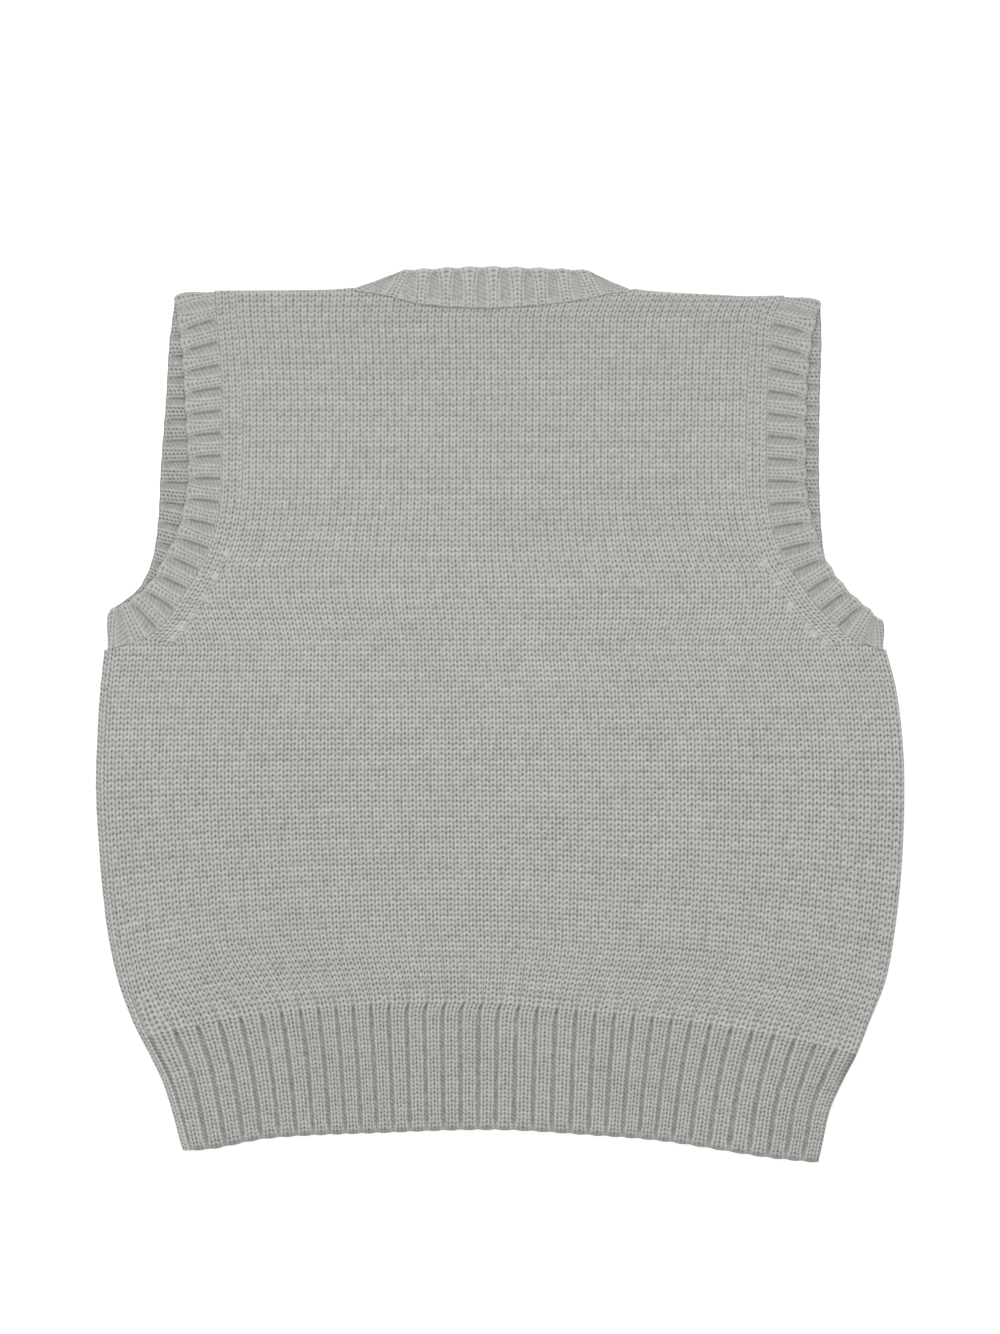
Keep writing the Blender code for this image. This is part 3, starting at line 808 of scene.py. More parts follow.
def filled(loop: Array, step: float) -> tuple[Array, Array, Array]:
    """Triangulate the inside of a closed loop.

    Args:
        loop: x and y of the loop's points.
        step: distance between inner points.

    Returns:
        All points, the triangles, and the index of each loop point among them.
    """
    low, high = loop.min(axis=0), loop.max(axis=0)
    xs = np.arange(low[0] + step / 2, high[0], step)
    ys = np.arange(low[1] + step / 2, high[1], step)
    gx, gy = (part.ravel() for part in np.meshgrid(xs, ys))
    after = np.roll(loop, -1, axis=0)
    odd = np.zeros(len(gx), bool)
    near = np.full(len(gx), np.inf)
    for (ax, ay), (bx, by) in zip(loop, after):
        crosses = (ay > gy) != (by > gy)
        if by != ay:
            odd ^= crosses & (gx < ax + (gy - ay) / (by - ay) * (bx - ax))
        near = np.minimum(near, np.hypot(gx - ax, gy - ay))
    keep = odd & (near > 0.35 * step)
    spots = [Vector(p) for p in loop] + [Vector(p) for p in zip(gx[keep], gy[keep])]
    found = delaunay_2d_cdt(spots, [], [list(range(len(loop)))], 1, 1e-5)
    place = {spot: i for i, merged in enumerate(found[3]) for spot in merged}
    index = np.array([place[i] for i in range(len(loop))])
    return np.array([tuple(p) for p in found[0]]), np.array(found[2]), index


Place = Callable[[Array, Array], tuple[Array, Array]]
Height = Callable[[Array, Array], Array]
Tone = Callable[[Array, Array, Array, Array], Array]


def over_the_vest(y: Array, shade: Array) -> Array:
    """The stitches' painted shade from hem to neck: crisper towards the hem, and a little darker at both ends, as
    under fainter light.

    Args:
        y: the height of each point.
        shade: its own shade.

    Returns:
        The new shade.
    """
    crispness = mixed(1.17, 0.9, fade((y + 60) / 320))
    shade = np.clip(0.3 + (shade - 0.3) * crispness, 0.0, None)
    return shade + 0.03 * fade((30 - y) / 130) + 0.035 * fade((y - 190) / 70)


@dataclass
class Island:
    """One closed sheet of stitches: a stitched face, a rim and a plain face."""

    columns: Columns
    low: Array
    high: Array
    rows: int
    place: Place
    over: Height
    under: Height
    relief: Relief
    recess: Callable[[Array, Array], Array] | None = None
    turned: bool = False  # True where the stitched face is the lower one
    fill_step: float = 26.0
    marks: Sequence[Point] = ()  # where decreases stand up as small knots
    mark_radius: float = 2.2
    mark_rise: float = 0.9
    parts: float = 0.0  # how far the wales are pulled apart towards the shoulders
    tone: Tone | None = None  # the shade, by place across, x, y and the stitches' own shade

    def add_to(self, shell: Shell) -> None:
        """Lay the stitches and close the sheet.

        Args:
            shell: the piece that the island belongs to.
        """
        columns = self.columns
        patch = knit_patch(columns, self.low, self.high, self.rows)
        across = columns.place[patch.column]
        x, y = self.place(across, patch.v)
        sway = 0.1 * UNEVEN.read(2, columns.wale[patch.column], patch.course)
        sway[patch.loop()] = 0.0
        x = x + sway
        recess = 0.0 if self.recess is None else self.recess(across, patch.v)
        surface = Surface(columns, patch, self.relief, recess, fade((y + 20) / 200) * self.parts)
        depth = surface.depth()
        shade = over_the_vest(y, surface.shade())
        if self.tone is not None:
            shade = self.tone(across, x, y, shade)
        for mark in self.marks:
            near = np.exp(-((x - mark.x) ** 2 + (y - mark.y) ** 2) / self.mark_radius**2)
            depth = depth - self.mark_rise * near
            # Painted light: a knot stands up into the light, so its shade is taken away
            shade = shade * (1 - near)
        sign = -1.0 if self.turned else 1.0
        z = self.over(x, y) - sign * depth
        start = shell.add_patch(patch, columns, np.stack([x, y, z], axis=1), shade, self.turned)
        loop = patch.loop()
        ring, triangles, index = filled(np.stack([x[loop], y[loop]], axis=1), self.fill_step)
        stitch = np.stack([ring[:, 0] / WALE, ring[:, 1] / COURSE], axis=1)
        low = shell.add_points(np.column_stack([ring, self.under(ring[:, 0], ring[:, 1])]), stitch, 0.1)
        shell.add_faces(triangles, low, not self.turned)
        shell.plain.append(triangles + low)
        shell.add_strip(loop + start, index + low, True, not self.turned, True)


# Finishes


def linear(code: str) -> tuple[float, float, float, float]:
    """Turn an sRGB hex colour to linear.

    Args:
        code: six hex digits.

    Returns:
        Red, green, blue and a full alpha.
    """
    parts = [int(code[i : i + 2], 16) / 255 for i in (0, 2, 4)]
    return (*(p / 12.92 if p <= 0.04045 else ((p + 0.055) / 1.055) ** 2.4 for p in parts), 1.0)


def feed(made: bpy.types.Node, inputs: dict) -> None:
    """Give a node its inputs.

    Args:
        made: the node.
        inputs: for each input, by name or number, a value or the socket that feeds it.
    """
    for name, value in inputs.items():
        if isinstance(value, bpy.types.NodeSocket):
            made.id_data.links.new(value, made.inputs[name])
        else:
            made.inputs[name].default_value = value


def node(
    tree: bpy.types.NodeTree, kind: str, gives: str | int, inputs: dict | None = None, **settings: str
) -> bpy.types.NodeSocket:
    """Add a shader node with its settings and links.

    Args:
        tree: the material's tree.
        kind: the node's type, without the word that all of them start with.
        gives: the output that is wanted, by name or number.
        inputs: for each input, by name or number, a value or the socket that feeds it.
        **settings: the node's own properties.

    Returns:
        The output.
    """
    made = tree.nodes.new("ShaderNode" + kind)
    for name, value in settings.items():
        setattr(made, name, value)
    feed(made, inputs or {})
    return made.outputs[gives]


def blended(tree: bpy.types.NodeTree, factor: bpy.types.NodeSocket, one: str, other: str) -> bpy.types.NodeSocket:
    """A colour between two, as far as a factor says."""
    inputs = {"Factor": factor, "A": linear(one), "B": linear(other)}
    return node(tree, "Mix", "Result", inputs, data_type="RGBA")


@dataclass(frozen=True)
class WoolFinish:
    """Soft plied wool, knitted and steamed: matt, with a short halo of fibres."""

    name: str
    lit: str = "bdbdb8"  # yarn on top of a leg, painted as lit
    shaded: str = "50514c"  # yarn down in a hole, painted as in shade
    streak: float = 0.06  # difference in colour from course to course
    speck: float = 0.07  # and from fibre to fibre
    ply_mm: float = 0.35  # height of the twist that the plies give the yarn
    fibre_mm: float = 0.12  # loose fibres on the yarn

    def build(self) -> bpy.types.Material:
        """Make the material.

        Returns:
            The material.
        """
        material = bpy.data.materials.new(self.name)
        material.use_nodes = True
        tree = material.node_tree

        def noise(vector: bpy.types.NodeSocket, scale: float, roughness: float) -> bpy.types.NodeSocket:
            """Soft spots of a given size."""
            inputs = {"Vector": vector, "Scale": scale, "Detail": 2.0, "Roughness": roughness}
            return node(tree, "TexNoise", "Fac", inputs)

        def factor(value: bpy.types.NodeSocket, spread: float) -> bpy.types.NodeSocket:
            """A factor around 1, from a noise."""
            span = {"From Min": 0.3, "From Max": 0.7, "To Min": 1 - spread, "To Max": 1 + spread}
            return node(tree, "MapRange", "Result", {"Value": value, **span})

        def sums(operation: str, *values: bpy.types.NodeSocket | float) -> bpy.types.NodeSocket:
            """The result of one sum."""
            return node(tree, "Math", 0, dict(enumerate(values)), operation=operation)

        shade = node(tree, "Attribute", "Fac", attribute_name="shade")
        place = node(tree, "TexCoord", "Object")
        stitches = node(tree, "UVMap", "UV", uv_map="stitches")
        # Each course is knitted from one length of yarn, so small differences run along it
        course = node(tree, "VectorMath", 0, {0: stitches, 1: (0.06, 0.9, 1.0)}, operation="MULTIPLY")
        streaks = noise(course, 1.0, 0.6)
        # Fibres under a millimetre make each leg slightly speckled and soft
        fibres = noise(place, 2200.0, 0.7)
        # Painted shade: the yarn's colour runs from the lit colour to the shaded one by each point's shade
        colour = blended(tree, shade, self.lit, self.shaded)
        both = sums("MULTIPLY", factor(streaks, self.streak), factor(fibres, self.speck))
        dyed = node(tree, "VectorMath", 0, {0: colour, 3: both}, operation="SCALE")
        # The plies twist round the leg: slanting lines, several to a stitch
        across = node(tree, "SeparateXYZ", 0, {0: stitches})
        turns = sums("MULTIPLY", sums("PINGPONG", across, 0.5), 5.0)
        twist = sums("MULTIPLY_ADD", across.node.outputs[1], 2.0, turns)
        wave = sums("PINGPONG", twist, 0.5)
        plies = node(tree, "Bump", 0, {"Strength": 0.6, "Distance": self.ply_mm * MM, "Height": wave})
        fluff = {"Strength": 0.7, "Distance": self.fibre_mm * MM, "Height": fibres, "Normal": plies}
        looks = {
            "Base Color": dyed,
            "Normal": node(tree, "Bump", 0, fluff),
            "Roughness": 0.92,
            "Specular IOR Level": 0.25,
            "Sheen Weight": 0.25,
            "Sheen Roughness": 0.6,
            "Sheen Tint": linear("f2f2ee"),
        }
        feed(tree.nodes["Principled BSDF"], looks)
        return material


# Where the stitches of the body lie


def rib_edges() -> Array:
    """Where the wales of the body start, counted in ribs of the hem.

    Returns:
        The edges of a purl wale and two knit ones, over and over.
    """
    k = np.arange(BODY_WALES + 1)
    edges = (k - 1) // 3 - 1 + np.array([PURL_HALF, 0.5, 1 - PURL_HALF])[(k - 1) % 3]
    edges[0], edges[-1] = FIRST_RIB, LAST_RIB
    return edges


RIB_EDGES = rib_edges()
ALL_WALES = np.arange(BODY_WALES + 1.0)
MIDDLE_Y = float(SEAM_Y(0.0))
CORNER_Y = float(SEAM_Y(left_side(-210.0)))  # where the left side seam meets the hem seam
FOOT_Y = float(EDGE_Y(left_side(-283.0)))  # where it meets the cast-on edge
HEM_KINDS = [Kind.PURL if wale % 3 == 0 else Kind.KNIT for wale in range(BODY_WALES - 1)] + [Kind.KNIT]


def hem_y(x: Array, share: Array | float) -> Array:
    """The height of a row of the hem, whose share runs from the seam to the cast-on edge."""
    return mixed(SEAM_Y(x), EDGE_Y(x), share)


def hem_point(rib: Array, share: Array | float) -> tuple[Array, Array]:
    """A place on the hem.

    Args:
        rib: place across it, in ribs.
        share: 0 at the seam, 1 at the cast-on edge.

    Returns:
        x and y.
    """
    across = (rib - FIRST_RIB) / (LAST_RIB - FIRST_RIB)
    left_x = mixed(HEM_FAN[0].at_seam, HEM_FAN[0].at_edge, share)
    right_x = mixed(HEM_FAN[-1].at_seam, HEM_FAN[-1].at_edge, share)
    left_move = left_side(hem_y(left_x, share)) + SIDE_TURN - left_x
    right_move = right_side(hem_y(right_x, share)) - right_x
    x = mixed(FAN_SEAM(rib), FAN_EDGE(rib), share)
    x = x + left_move * (1 - across) ** SIDE_HOLD + right_move * across**SIDE_HOLD
    return x, hem_y(x, share)


def drawn_together(rib: Array, amount: Array) -> Array:
    """Draw the knit wales of neighbouring ribs together over the purl wale between them.

    Args:
        rib: place across the hem, in ribs, with a purl wale at each whole number.
        amount: 0 for none, 1 where the purl wale nearly closes.

    Returns:
        The moved places.
    """
    left_open = 0.35  # share of the purl wale that still shows when it is closed
    nearest = np.rint(rib)
    off = rib - nearest
    stretch = (0.5 - left_open * PURL_HALF) / (0.5 - PURL_HALF)
    outside = np.sign(off) * (0.5 - (0.5 - np.abs(off)) * stretch)
    narrow = np.where(np.abs(off) < PURL_HALF, off * left_open, outside)
    inside = (nearest > FIRST_RIB) & (nearest < LAST_RIB)
    return np.where(inside, nearest + mixed(off, narrow, amount), rib)


def rib_head(rib: Array, away: Array, settled: Array) -> Array:
    """Where a rib's wales lie near the seam: they close over the purls and lean to the right.

    Args:
        rib: place across the hem, in ribs.
        away: distance from the seam in courses.
        settled: 0 at the seam to 1 where the lean has gone.

    Returns:
        The moved places.
    """
    # The ribs just left of the middle lean most, those further left not at all, those on the right hardly
    lean = 0.25 * fade((rib - 8) / 6) * fade((LAST_RIB - rib) / 3) * mixed(1.0, 0.15, fade((rib - 16) / 6))
    return drawn_together(rib, 0.9 * np.exp(-((away / 2.4) ** 2))) + lean * (1 - settled)


def offset_line(points: Array, distance: float) -> Array:
    """Move a row of points sideways.

    Args:
        points: the points.
        distance: how far to the right of their own direction, or left where negative.

    Returns:
        The moved points.
    """
    move = np.gradient(points, axis=0)
    move /= np.linalg.norm(move, axis=1)[:, None]
    return points + np.stack([move[:, 1], -move[:, 0]], axis=1) * distance


def arm_line(rows: Sequence[Rung], upwards: bool, inwards: float) -> Array:
    """The seam of an armhole, from the underarm up and a little past the shoulder.

    Args:
        rows: the band's table.
        upwards: True where the table starts at the underarm.
        inwards: how far to move the line to its right.

    Returns:
        The points.
    """
    past = 14.0
    line = rungs_between(rows, 240)[:, :2]
    line = offset_line(line if upwards else line[::-1], inwards)
    end = line[-1] + (line[-1] - line[-2]) / np.linalg.norm(line[-1] - line[-2]) * past
    return np.vstack([line, end])


def at_height(line: Array, y: Array) -> Array:
    """The x of a rising line at given heights."""
    return np.interp(y, line[:, 1], line[:, 0])


def slant(line: Array, y: Array) -> Array:
    """The cosine between a rising line and the way up, at given heights."""
    rise = (at_height(line, y + 0.5) - at_height(line, y - 0.5)) / 1.0
    return 1 / np.sqrt(1 + rise**2)


class Ease(NamedTuple):
    """A small sideways move that brings one wale onto a line and dies out towards the middle."""

    wale: float
    reach: float
    heights: Array
    moves: Array


@dataclass
class BodyMap:
    """Where the stitches of one layer of the body lie."""

    arm_left: Array
    arm_right: Array
    arm_wales: int  # wales that end at each armhole
    inside: float  # how far in from the outline's left side the layer starts
    rise: float  # height over which the armholes come to their full depth
    fans: bool  # True where the first courses fan out from the ribs
    eases: list[Ease] = field(default_factory=list)

    def level_x(self, wale: Array, y: Array) -> Array:
        """The x of a wale at a height.

        Args:
            wale: place across the body, in wales.
            y: the height.

        Returns:
            The x.
        """
        left = left_side(y) + self.inside
        right = right_side(y) - SEAM_GAP / 2
        low = left + (right - left) * wale / BODY_WALES
        arm_left, arm_right = at_height(self.arm_left, y), at_height(self.arm_right, y)
        share = (wale - self.arm_wales) / (BODY_WALES - 2 * self.arm_wales)
        x = mixed(low, arm_left + (arm_right - arm_left) * share, fade((y - UNDERARM) / self.rise))
        for ease in self.eases:
            inward = (wale - ease.wale) * (1 if ease.wale < BODY_WALES / 2 else -1)
            x = x + np.interp(y, ease.heights, ease.moves) * np.clip(1 - inward / ease.reach, 0, 1)
        return x

    def place(self, wale: Array, v: Array) -> tuple[Array, Array]:
        """The place of a stitch.

        Args:
            wale: place across the body, in wales.
            v: place up the body, in courses from the hem seam.

        Returns:
            x and y.
        """
        rib = np.interp(wale, ALL_WALES, RIB_EDGES)
        seam_x, seam_y = hem_point(rib, 0.0)
        y = MIDDLE_Y + COURSE * v + (seam_y - MIDDLE_Y) * (1 - fade(v / 60))
        x = self.level_x(wale, y)
        if self.fans:
            head_x, head_y = hem_point(rib_head(rib, v, fade(v / 16)), 0.0)
            x = x + (seam_x - self.level_x(wale, seam_y)) * (1 - fade(v / 14)) + head_x - seam_x
            y = y + head_y - seam_y
        return x, y

    def ease_onto(self, wale: float, line: Array, start: float, span: float, reach: float) -> None:
        """Bring one wale onto a line above a height.

        Args:
            wale: the wale.
            line: the line.
            start: the height where the wale starts to move.
            span: the height over which it reaches the line.
            reach: how many wales further in are moved with it.
        """
        heights = np.linspace(UNDERARM, 300.0, 400)
        moves = at_height(line, heights) - self.level_x(np.full_like(heights, wale), heights)
        self.eases.append(Ease(wale, reach, heights, moves * fade((heights - start) / span)))


def column_ends(place: Place, across: Array, start: float, inside: Height) -> Array:
    """Where each column first leaves an area.

    Args:
        place: the place of each stitch.
        across: each column's place across.
        start: the course to start from.
        inside: above 0 inside the area.

    Returns:
        The last course of each column.
    """
    step = 0.05
    v = np.arange(start, 175.0, step)
    x, y = place(across[:, None] + 0 * v, v + 0 * across[:, None])
    value = inside(x, y)
    out = value < 0
    j = np.maximum(np.where(out.any(axis=1), np.argmax(out, axis=1), len(v) - 1), 1)
    rows = np.arange(len(across))
    before, after = value[rows, j - 1], value[rows, j]
    return v[j - 1] + step * np.clip(before / np.where(before == after, 1.0, before - after), 0, 1)


class Strip:
    """The wales that run along one armhole of the back, outside the decreases."""

    width = 13.2
    squareness = 0.75  # how far the courses turn to lie square to the seam
    turning = 22.0  # courses over which they do

    def __init__(self, body: BodyMap, left: bool) -> None:
        """Lay the strip's two edges, course by course.

        Args:
            body: the back's stitches.
            left: True for the left armhole.
        """
        self.body = body
        self.sign = sign = 1.0 if left else -1.0
        self.outer = BOUND_OFF if left else BODY_WALES - BOUND_OFF
        self.inner = self.outer + int(sign) * EDGE_WALES
        self.v = v = np.arange(0.0, 178.0, 0.1)
        seam = body.arm_left if left else body.arm_right
        along = length_of(seam)
        x, y, hit = self.followed(self.outer, seam, UNDERARM)
        way = np.interp(y[hit], seam[:, 1], along) + COURSE * (v - v[hit])
        self.outer_x = np.where(v >= v[hit], np.interp(way, along, seam[:, 0]), x)
        self.outer_y = np.where(v >= v[hit], np.interp(way, along, seam[:, 1]), y)
        inner = offset_line(seam, sign * self.width)
        inner_along = length_of(inner)
        x, y, self.corner = self.followed(self.inner, inner, inner[0, 1] + 1)
        corner_way = float(np.interp(y[self.corner], inner[:, 1], inner_along))
        own = slice(0, self.corner + 1)
        path = np.vstack([np.stack([x, y], axis=1)[own], inner[inner_along > corner_way]])
        path_along = length_of(path)
        start = path_along[self.corner]
        beyond = v - v[self.corner]
        square = start + np.interp(way, along, inner_along) - corner_way
        reach = mixed(start + COURSE * beyond, square, fade(beyond / self.turning) * self.squareness)
        reach = np.where(beyond < 0, np.interp(v, v[own], path_along[own]), reach)
        self.inner_x = np.interp(reach, path_along, path[:, 0]) + sign * 0.2
        self.inner_y = np.interp(reach, path_along, path[:, 1])
        self.line = path

    def followed(self, wale: int, line: Array, above: float) -> tuple[Array, Array, int]:
        """Follow one wale of the body up to a line.

        Args:
            wale: the wale.
            line: the line.
            above: the height from which the wale may cross it.

        Returns:
            The wale's x and y, and the index of its first place beyond the line.
        """
        x, y = self.body.place(np.full_like(self.v, wale), self.v)
        beyond = (self.sign * (x - at_height(line, y)) < 0) & (y > above)
        return x, y, int(np.argmax(beyond))

    def place(self, wale: Array, v: Array) -> tuple[Array, Array]:
        """The place of a stitch of the strip.

        Args:
            wale: its place across the body, in wales.
            v: its course.

        Returns:
            x and y.
        """
        share = (wale - self.outer) / (self.inner - self.outer)
        x = mixed(np.interp(v, self.v, self.outer_x), np.interp(v, self.v, self.inner_x), share)
        y = mixed(np.interp(v, self.v, self.outer_y), np.interp(v, self.v, self.inner_y), share)
        return x, y


def rounded(distance: Array, radius: float, least: Array | float) -> Array:
    """Share of the wall that is left near a rounded edge.

    Args:
        distance: how far inside the edge.
        radius: where the wall reaches its full thickness.
        least: the share at the edge itself.

    Returns:
        The share, from least to 1.
    """
    t = np.clip(distance / radius, 0.0, 1.0)
    return least + (1 - least) * np.sqrt(1 - (1 - t) ** 2)


# Pieces


class Slot(Enum):
    """Material slots, by name."""

    STOCKINETTE = "stockinette"
    RIB = "rib"


@dataclass
class Piece:
    """A knitted piece of the vest: what its solid is called, a slot and its finish."""

    node: str
    slot: Slot
    finish: bpy.types.Material

    def complete(
        self, shell: Shell, flat: tuple[float, float], area: float, rests: Sequence[str] = ()
    ) -> bpy.types.Object:
        """Make the object, hang it from the root and hide its solid.

        Args:
            shell: its points and faces.
            flat: width and length of the cut, in metres; not used.
            area: the cut's area in square metres; not used.
            rests: names of what it lies on; not used.

        Returns:
            The object.
        """
        made = shell.to_object(self.finish)
        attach(made, "root")
        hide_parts(self.node)
        return made


@dataclass
class Panel(Piece):
    """A piece that lies in one layer of the vest, with its stitches on the side that shows."""

    rows: int = 2
    relief: Relief = Relief()
    level: float = WALL  # of the plain face

    def over(self, x: Array, y: Array) -> Array:
        """The top of the stitches."""
        raise NotImplementedError

    def under(self, x: Array, y: Array) -> Array:
        """The plain face."""
        return self.level + 0 * x

    def island(self, columns: Columns, low: Array, high: Array, place: Place, **more: object) -> Island:
        """A sheet of the panel's stitches.

        Args:
            columns: its columns.
            low: the first course of each.
            high: the last course of each.
            place: where a stitch lies.
            **more: what else the island is told.

        Returns:
            The sheet.
        """
        return Island(columns, low, high, self.rows, place, self.over, self.under, self.relief, **more)


NECK_LEFT, NECK_RIGHT = NECK_BACK[0].seam_x, NECK_BACK[-1].seam_x


def top_line(neck: Array) -> Array:
    """The upper edge of a panel, from the left shoulder's end to the right one's, by way of the neck seam."""
    return np.vstack([np.array(SHOULDER_LEFT)[::-1], neck, np.array(SHOULDER_RIGHT)[::-1]])


@dataclass
class BackPanel(Panel):
    """The back, in stockinette, with fully fashioned armholes."""

    rows: int = 3
    relief: Relief = Relief(lean=0.38, dim_inside=0.29)
    crest: float = 0.3  # height of the stitches over the wall
    rise: float = 83.0
    seam_radius: float = 1.9  # how far in from a seam the wall is drawn in
    neck_radius: float = 4.0
    side_radius: float = 2.6  # how far in a fold rounds the wall, at the right side
    fold_radius: float = 3.6  # and at the shoulders
    side_share: float = 0.85  # of the wall that is left at the side seam
    arm_share: float = 0.93  # at an armhole
    neck_share: tuple[float, float] = (0.94, 0.7)  # at the ends and at the middle of the neck
    neck_x: float = -12.0  # where the neck seam is drawn in most
    neck_rise: float = 2.2  # of the shoulders beside the neckband
    middle: int = 54  # the wale where the two halves meet
    marks: tuple[Point, ...] = (
        Point(-176.8, 103.7),
        Point(-184.6, 90.0),
        Point(-191.1, 75.7),
        Point(-199.6, 63.4),
        Point(-206.7, 56.2),
        Point(-211.9, 49.7),
        Point(171.6, 98.5),
        Point(180.1, 84.8),
        Point(187.9, 70.5),
        Point(199.6, 56.9),
        Point(203.5, 51.7),
        Point(210.6, 46.5),
    )

    def __post_init__(self) -> None:
        """Lay out the stitches and the strips beside the armholes."""
        half = SEAM_GAP / 2
        arms = arm_line(LEFT_BACK, False, half), arm_line(RIGHT_BACK, False, -half)
        self.body = BodyMap(*arms, ARM_WALES, inside=SIDE_TURN + half, rise=self.rise, fans=True)
        self.left, self.right = Strip(self.body, True), Strip(self.body, False)
        main = ARM_WALES + EDGE_WALES
        for wale, strip in ((main, self.left), (BODY_WALES - main, self.right)):
            self.body.ease_onto(wale, strip.line, start=86.0, span=12.0, reach=16.0)
        self.top = top_line(rungs_between(NECK_BACK, 60)[:, :2])
        self.all = columns_of([Kind.KNIT] * BODY_WALES, ALL_WALES, self.relief)

    def below_top(self, x: Array, y: Array) -> Array:
        """How far below the upper edge a point lies: the shoulders rise a little to the neckband's ends.

        Args:
            x: places across.
            y: places up the vest.

        Returns:
            The distances, negative above the edge.
        """
        beside = np.maximum(NECK_LEFT - x, x - NECK_RIGHT)
        rise = self.neck_rise * np.exp(-np.abs(beside) / 9.0) * (beside > 0)
        return np.interp(x, self.top[:, 0], self.top[:, 1]) + rise - SEAM_GAP / 2 - y

    def under(self, x: Array, y: Array) -> Array:
        """The plain face."""
        return BACK_LEVEL + back_lift(x, y)

    def over(self, x: Array, y: Array) -> Array:
        """The top of the stitches, with its seams drawn in and its folds rounded.

        Args:
            x: places across.
            y: places up the vest.

        Returns:
            The heights.
        """
        body = self.body
        wall = rounded(x - left_side(y) - SIDE_TURN, self.seam_radius, self.side_share)
        wall *= np.where(y < UNDERARM, rounded(right_side(y) - x, self.side_radius, 0.3), 1.0)
        for line, sign in ((body.arm_left, 1.0), (body.arm_right, -1.0)):
            room = sign * (x - at_height(line, y)) * slant(line, y)
            wall *= np.where(y > UNDERARM, rounded(room, self.seam_radius, self.arm_share), 1.0)
        room = self.below_top(x, y)
        at_neck = (x > NECK_LEFT) & (x < NECK_RIGHT)
        drawn = mixed(*self.neck_share, np.exp(-(((x - self.neck_x) / 50) ** 2)))
        wall *= np.where(at_neck, rounded(room, self.neck_radius, drawn), rounded(room, self.fold_radius, 0.15))
        thickness = mixed(RIB_TOP - back_lift(x, y), WALL + self.crest, fade((y - SEAM_Y(x)) / 10.0))
        return self.under(x, y) + thickness * wall

    def tone(self, _: Array, x: Array, y: Array, shade: Array) -> Array:
        """The stitches' shade with painted shade along the neck seam, where the neckband casts its shadow; most at
        the seam's middle.
        """
        middle = np.exp(-(((x - self.neck_x) / 40) ** 2))
        return shade + 0.34 * middle * np.exp(-((self.below_top(x, y) / 1.7) ** 2)) * (1 - shade)

    def half(self, left: bool) -> list[Island]:
        """The islands of one half: the bound-off wales, the strip, the wales that end at it, and the rest.

        Args:
            left: True for the left half.

        Returns:
            The half's islands.
        """
        body, strip = self.body, self.left if left else self.right
        sign = 1.0 if left else -1.0
        line = body.arm_left if left else body.arm_right
        corner = strip.v[strip.corner] + 0.1
        shaped, main = BOUND_OFF + EDGE_WALES, ARM_WALES + EDGE_WALES
        middle = self.middle if left else BODY_WALES - self.middle

        def at_arm(x: Array, y: Array) -> Array:
            """How far a place lies inside the armhole seam."""
            return np.where(y < UNDERARM, 1.0, sign * (x - at_height(line, y)))

        def at_strip(x: Array, y: Array) -> Array:
            """How far a place lies inside the strip."""
            return sign * (x - at_height(strip.line, y))

        found = []
        for one, other, place, start, edge in (
            (0, BOUND_OFF, body.place, 40.0, at_arm),
            (BOUND_OFF, shaped, strip.place, 90.0, self.below_top),
            (shaped, main, body.place, corner, at_strip),
            (main, middle, body.place, 90.0, self.below_top),
        ):
            columns = self.all.cut(*((one, other) if left else (BODY_WALES - other, BODY_WALES - one)))
            high = column_ends(place, columns.place, start, edge)
            if edge is at_strip:
                outer, last, before = (0, -1, -2) if left else (-1, 0, 1)
                high[outer] = corner
                high[last] = high[before] + 0.6
            more = {"marks": self.marks, "parts": 1.0, "tone": self.tone}
            found.append(self.island(columns, 0 * high, high, place, **more))
        return found

    def build(self) -> list[bpy.types.Object]:
        """Make the two halves.

        Returns:
            Their objects.
        """
        made = []
        for name, left in (("back_stitches_left", True), ("back_stitches_right", False)):
            shell = Shell(name)
            for island in self.half(left):
                island.add_to(shell)
            rests = ("front_stitches_left", "front_stitches_right")
            made.append(self.complete(shell, (0.262, 0.465), shell.plain_area(), rests))
        return made


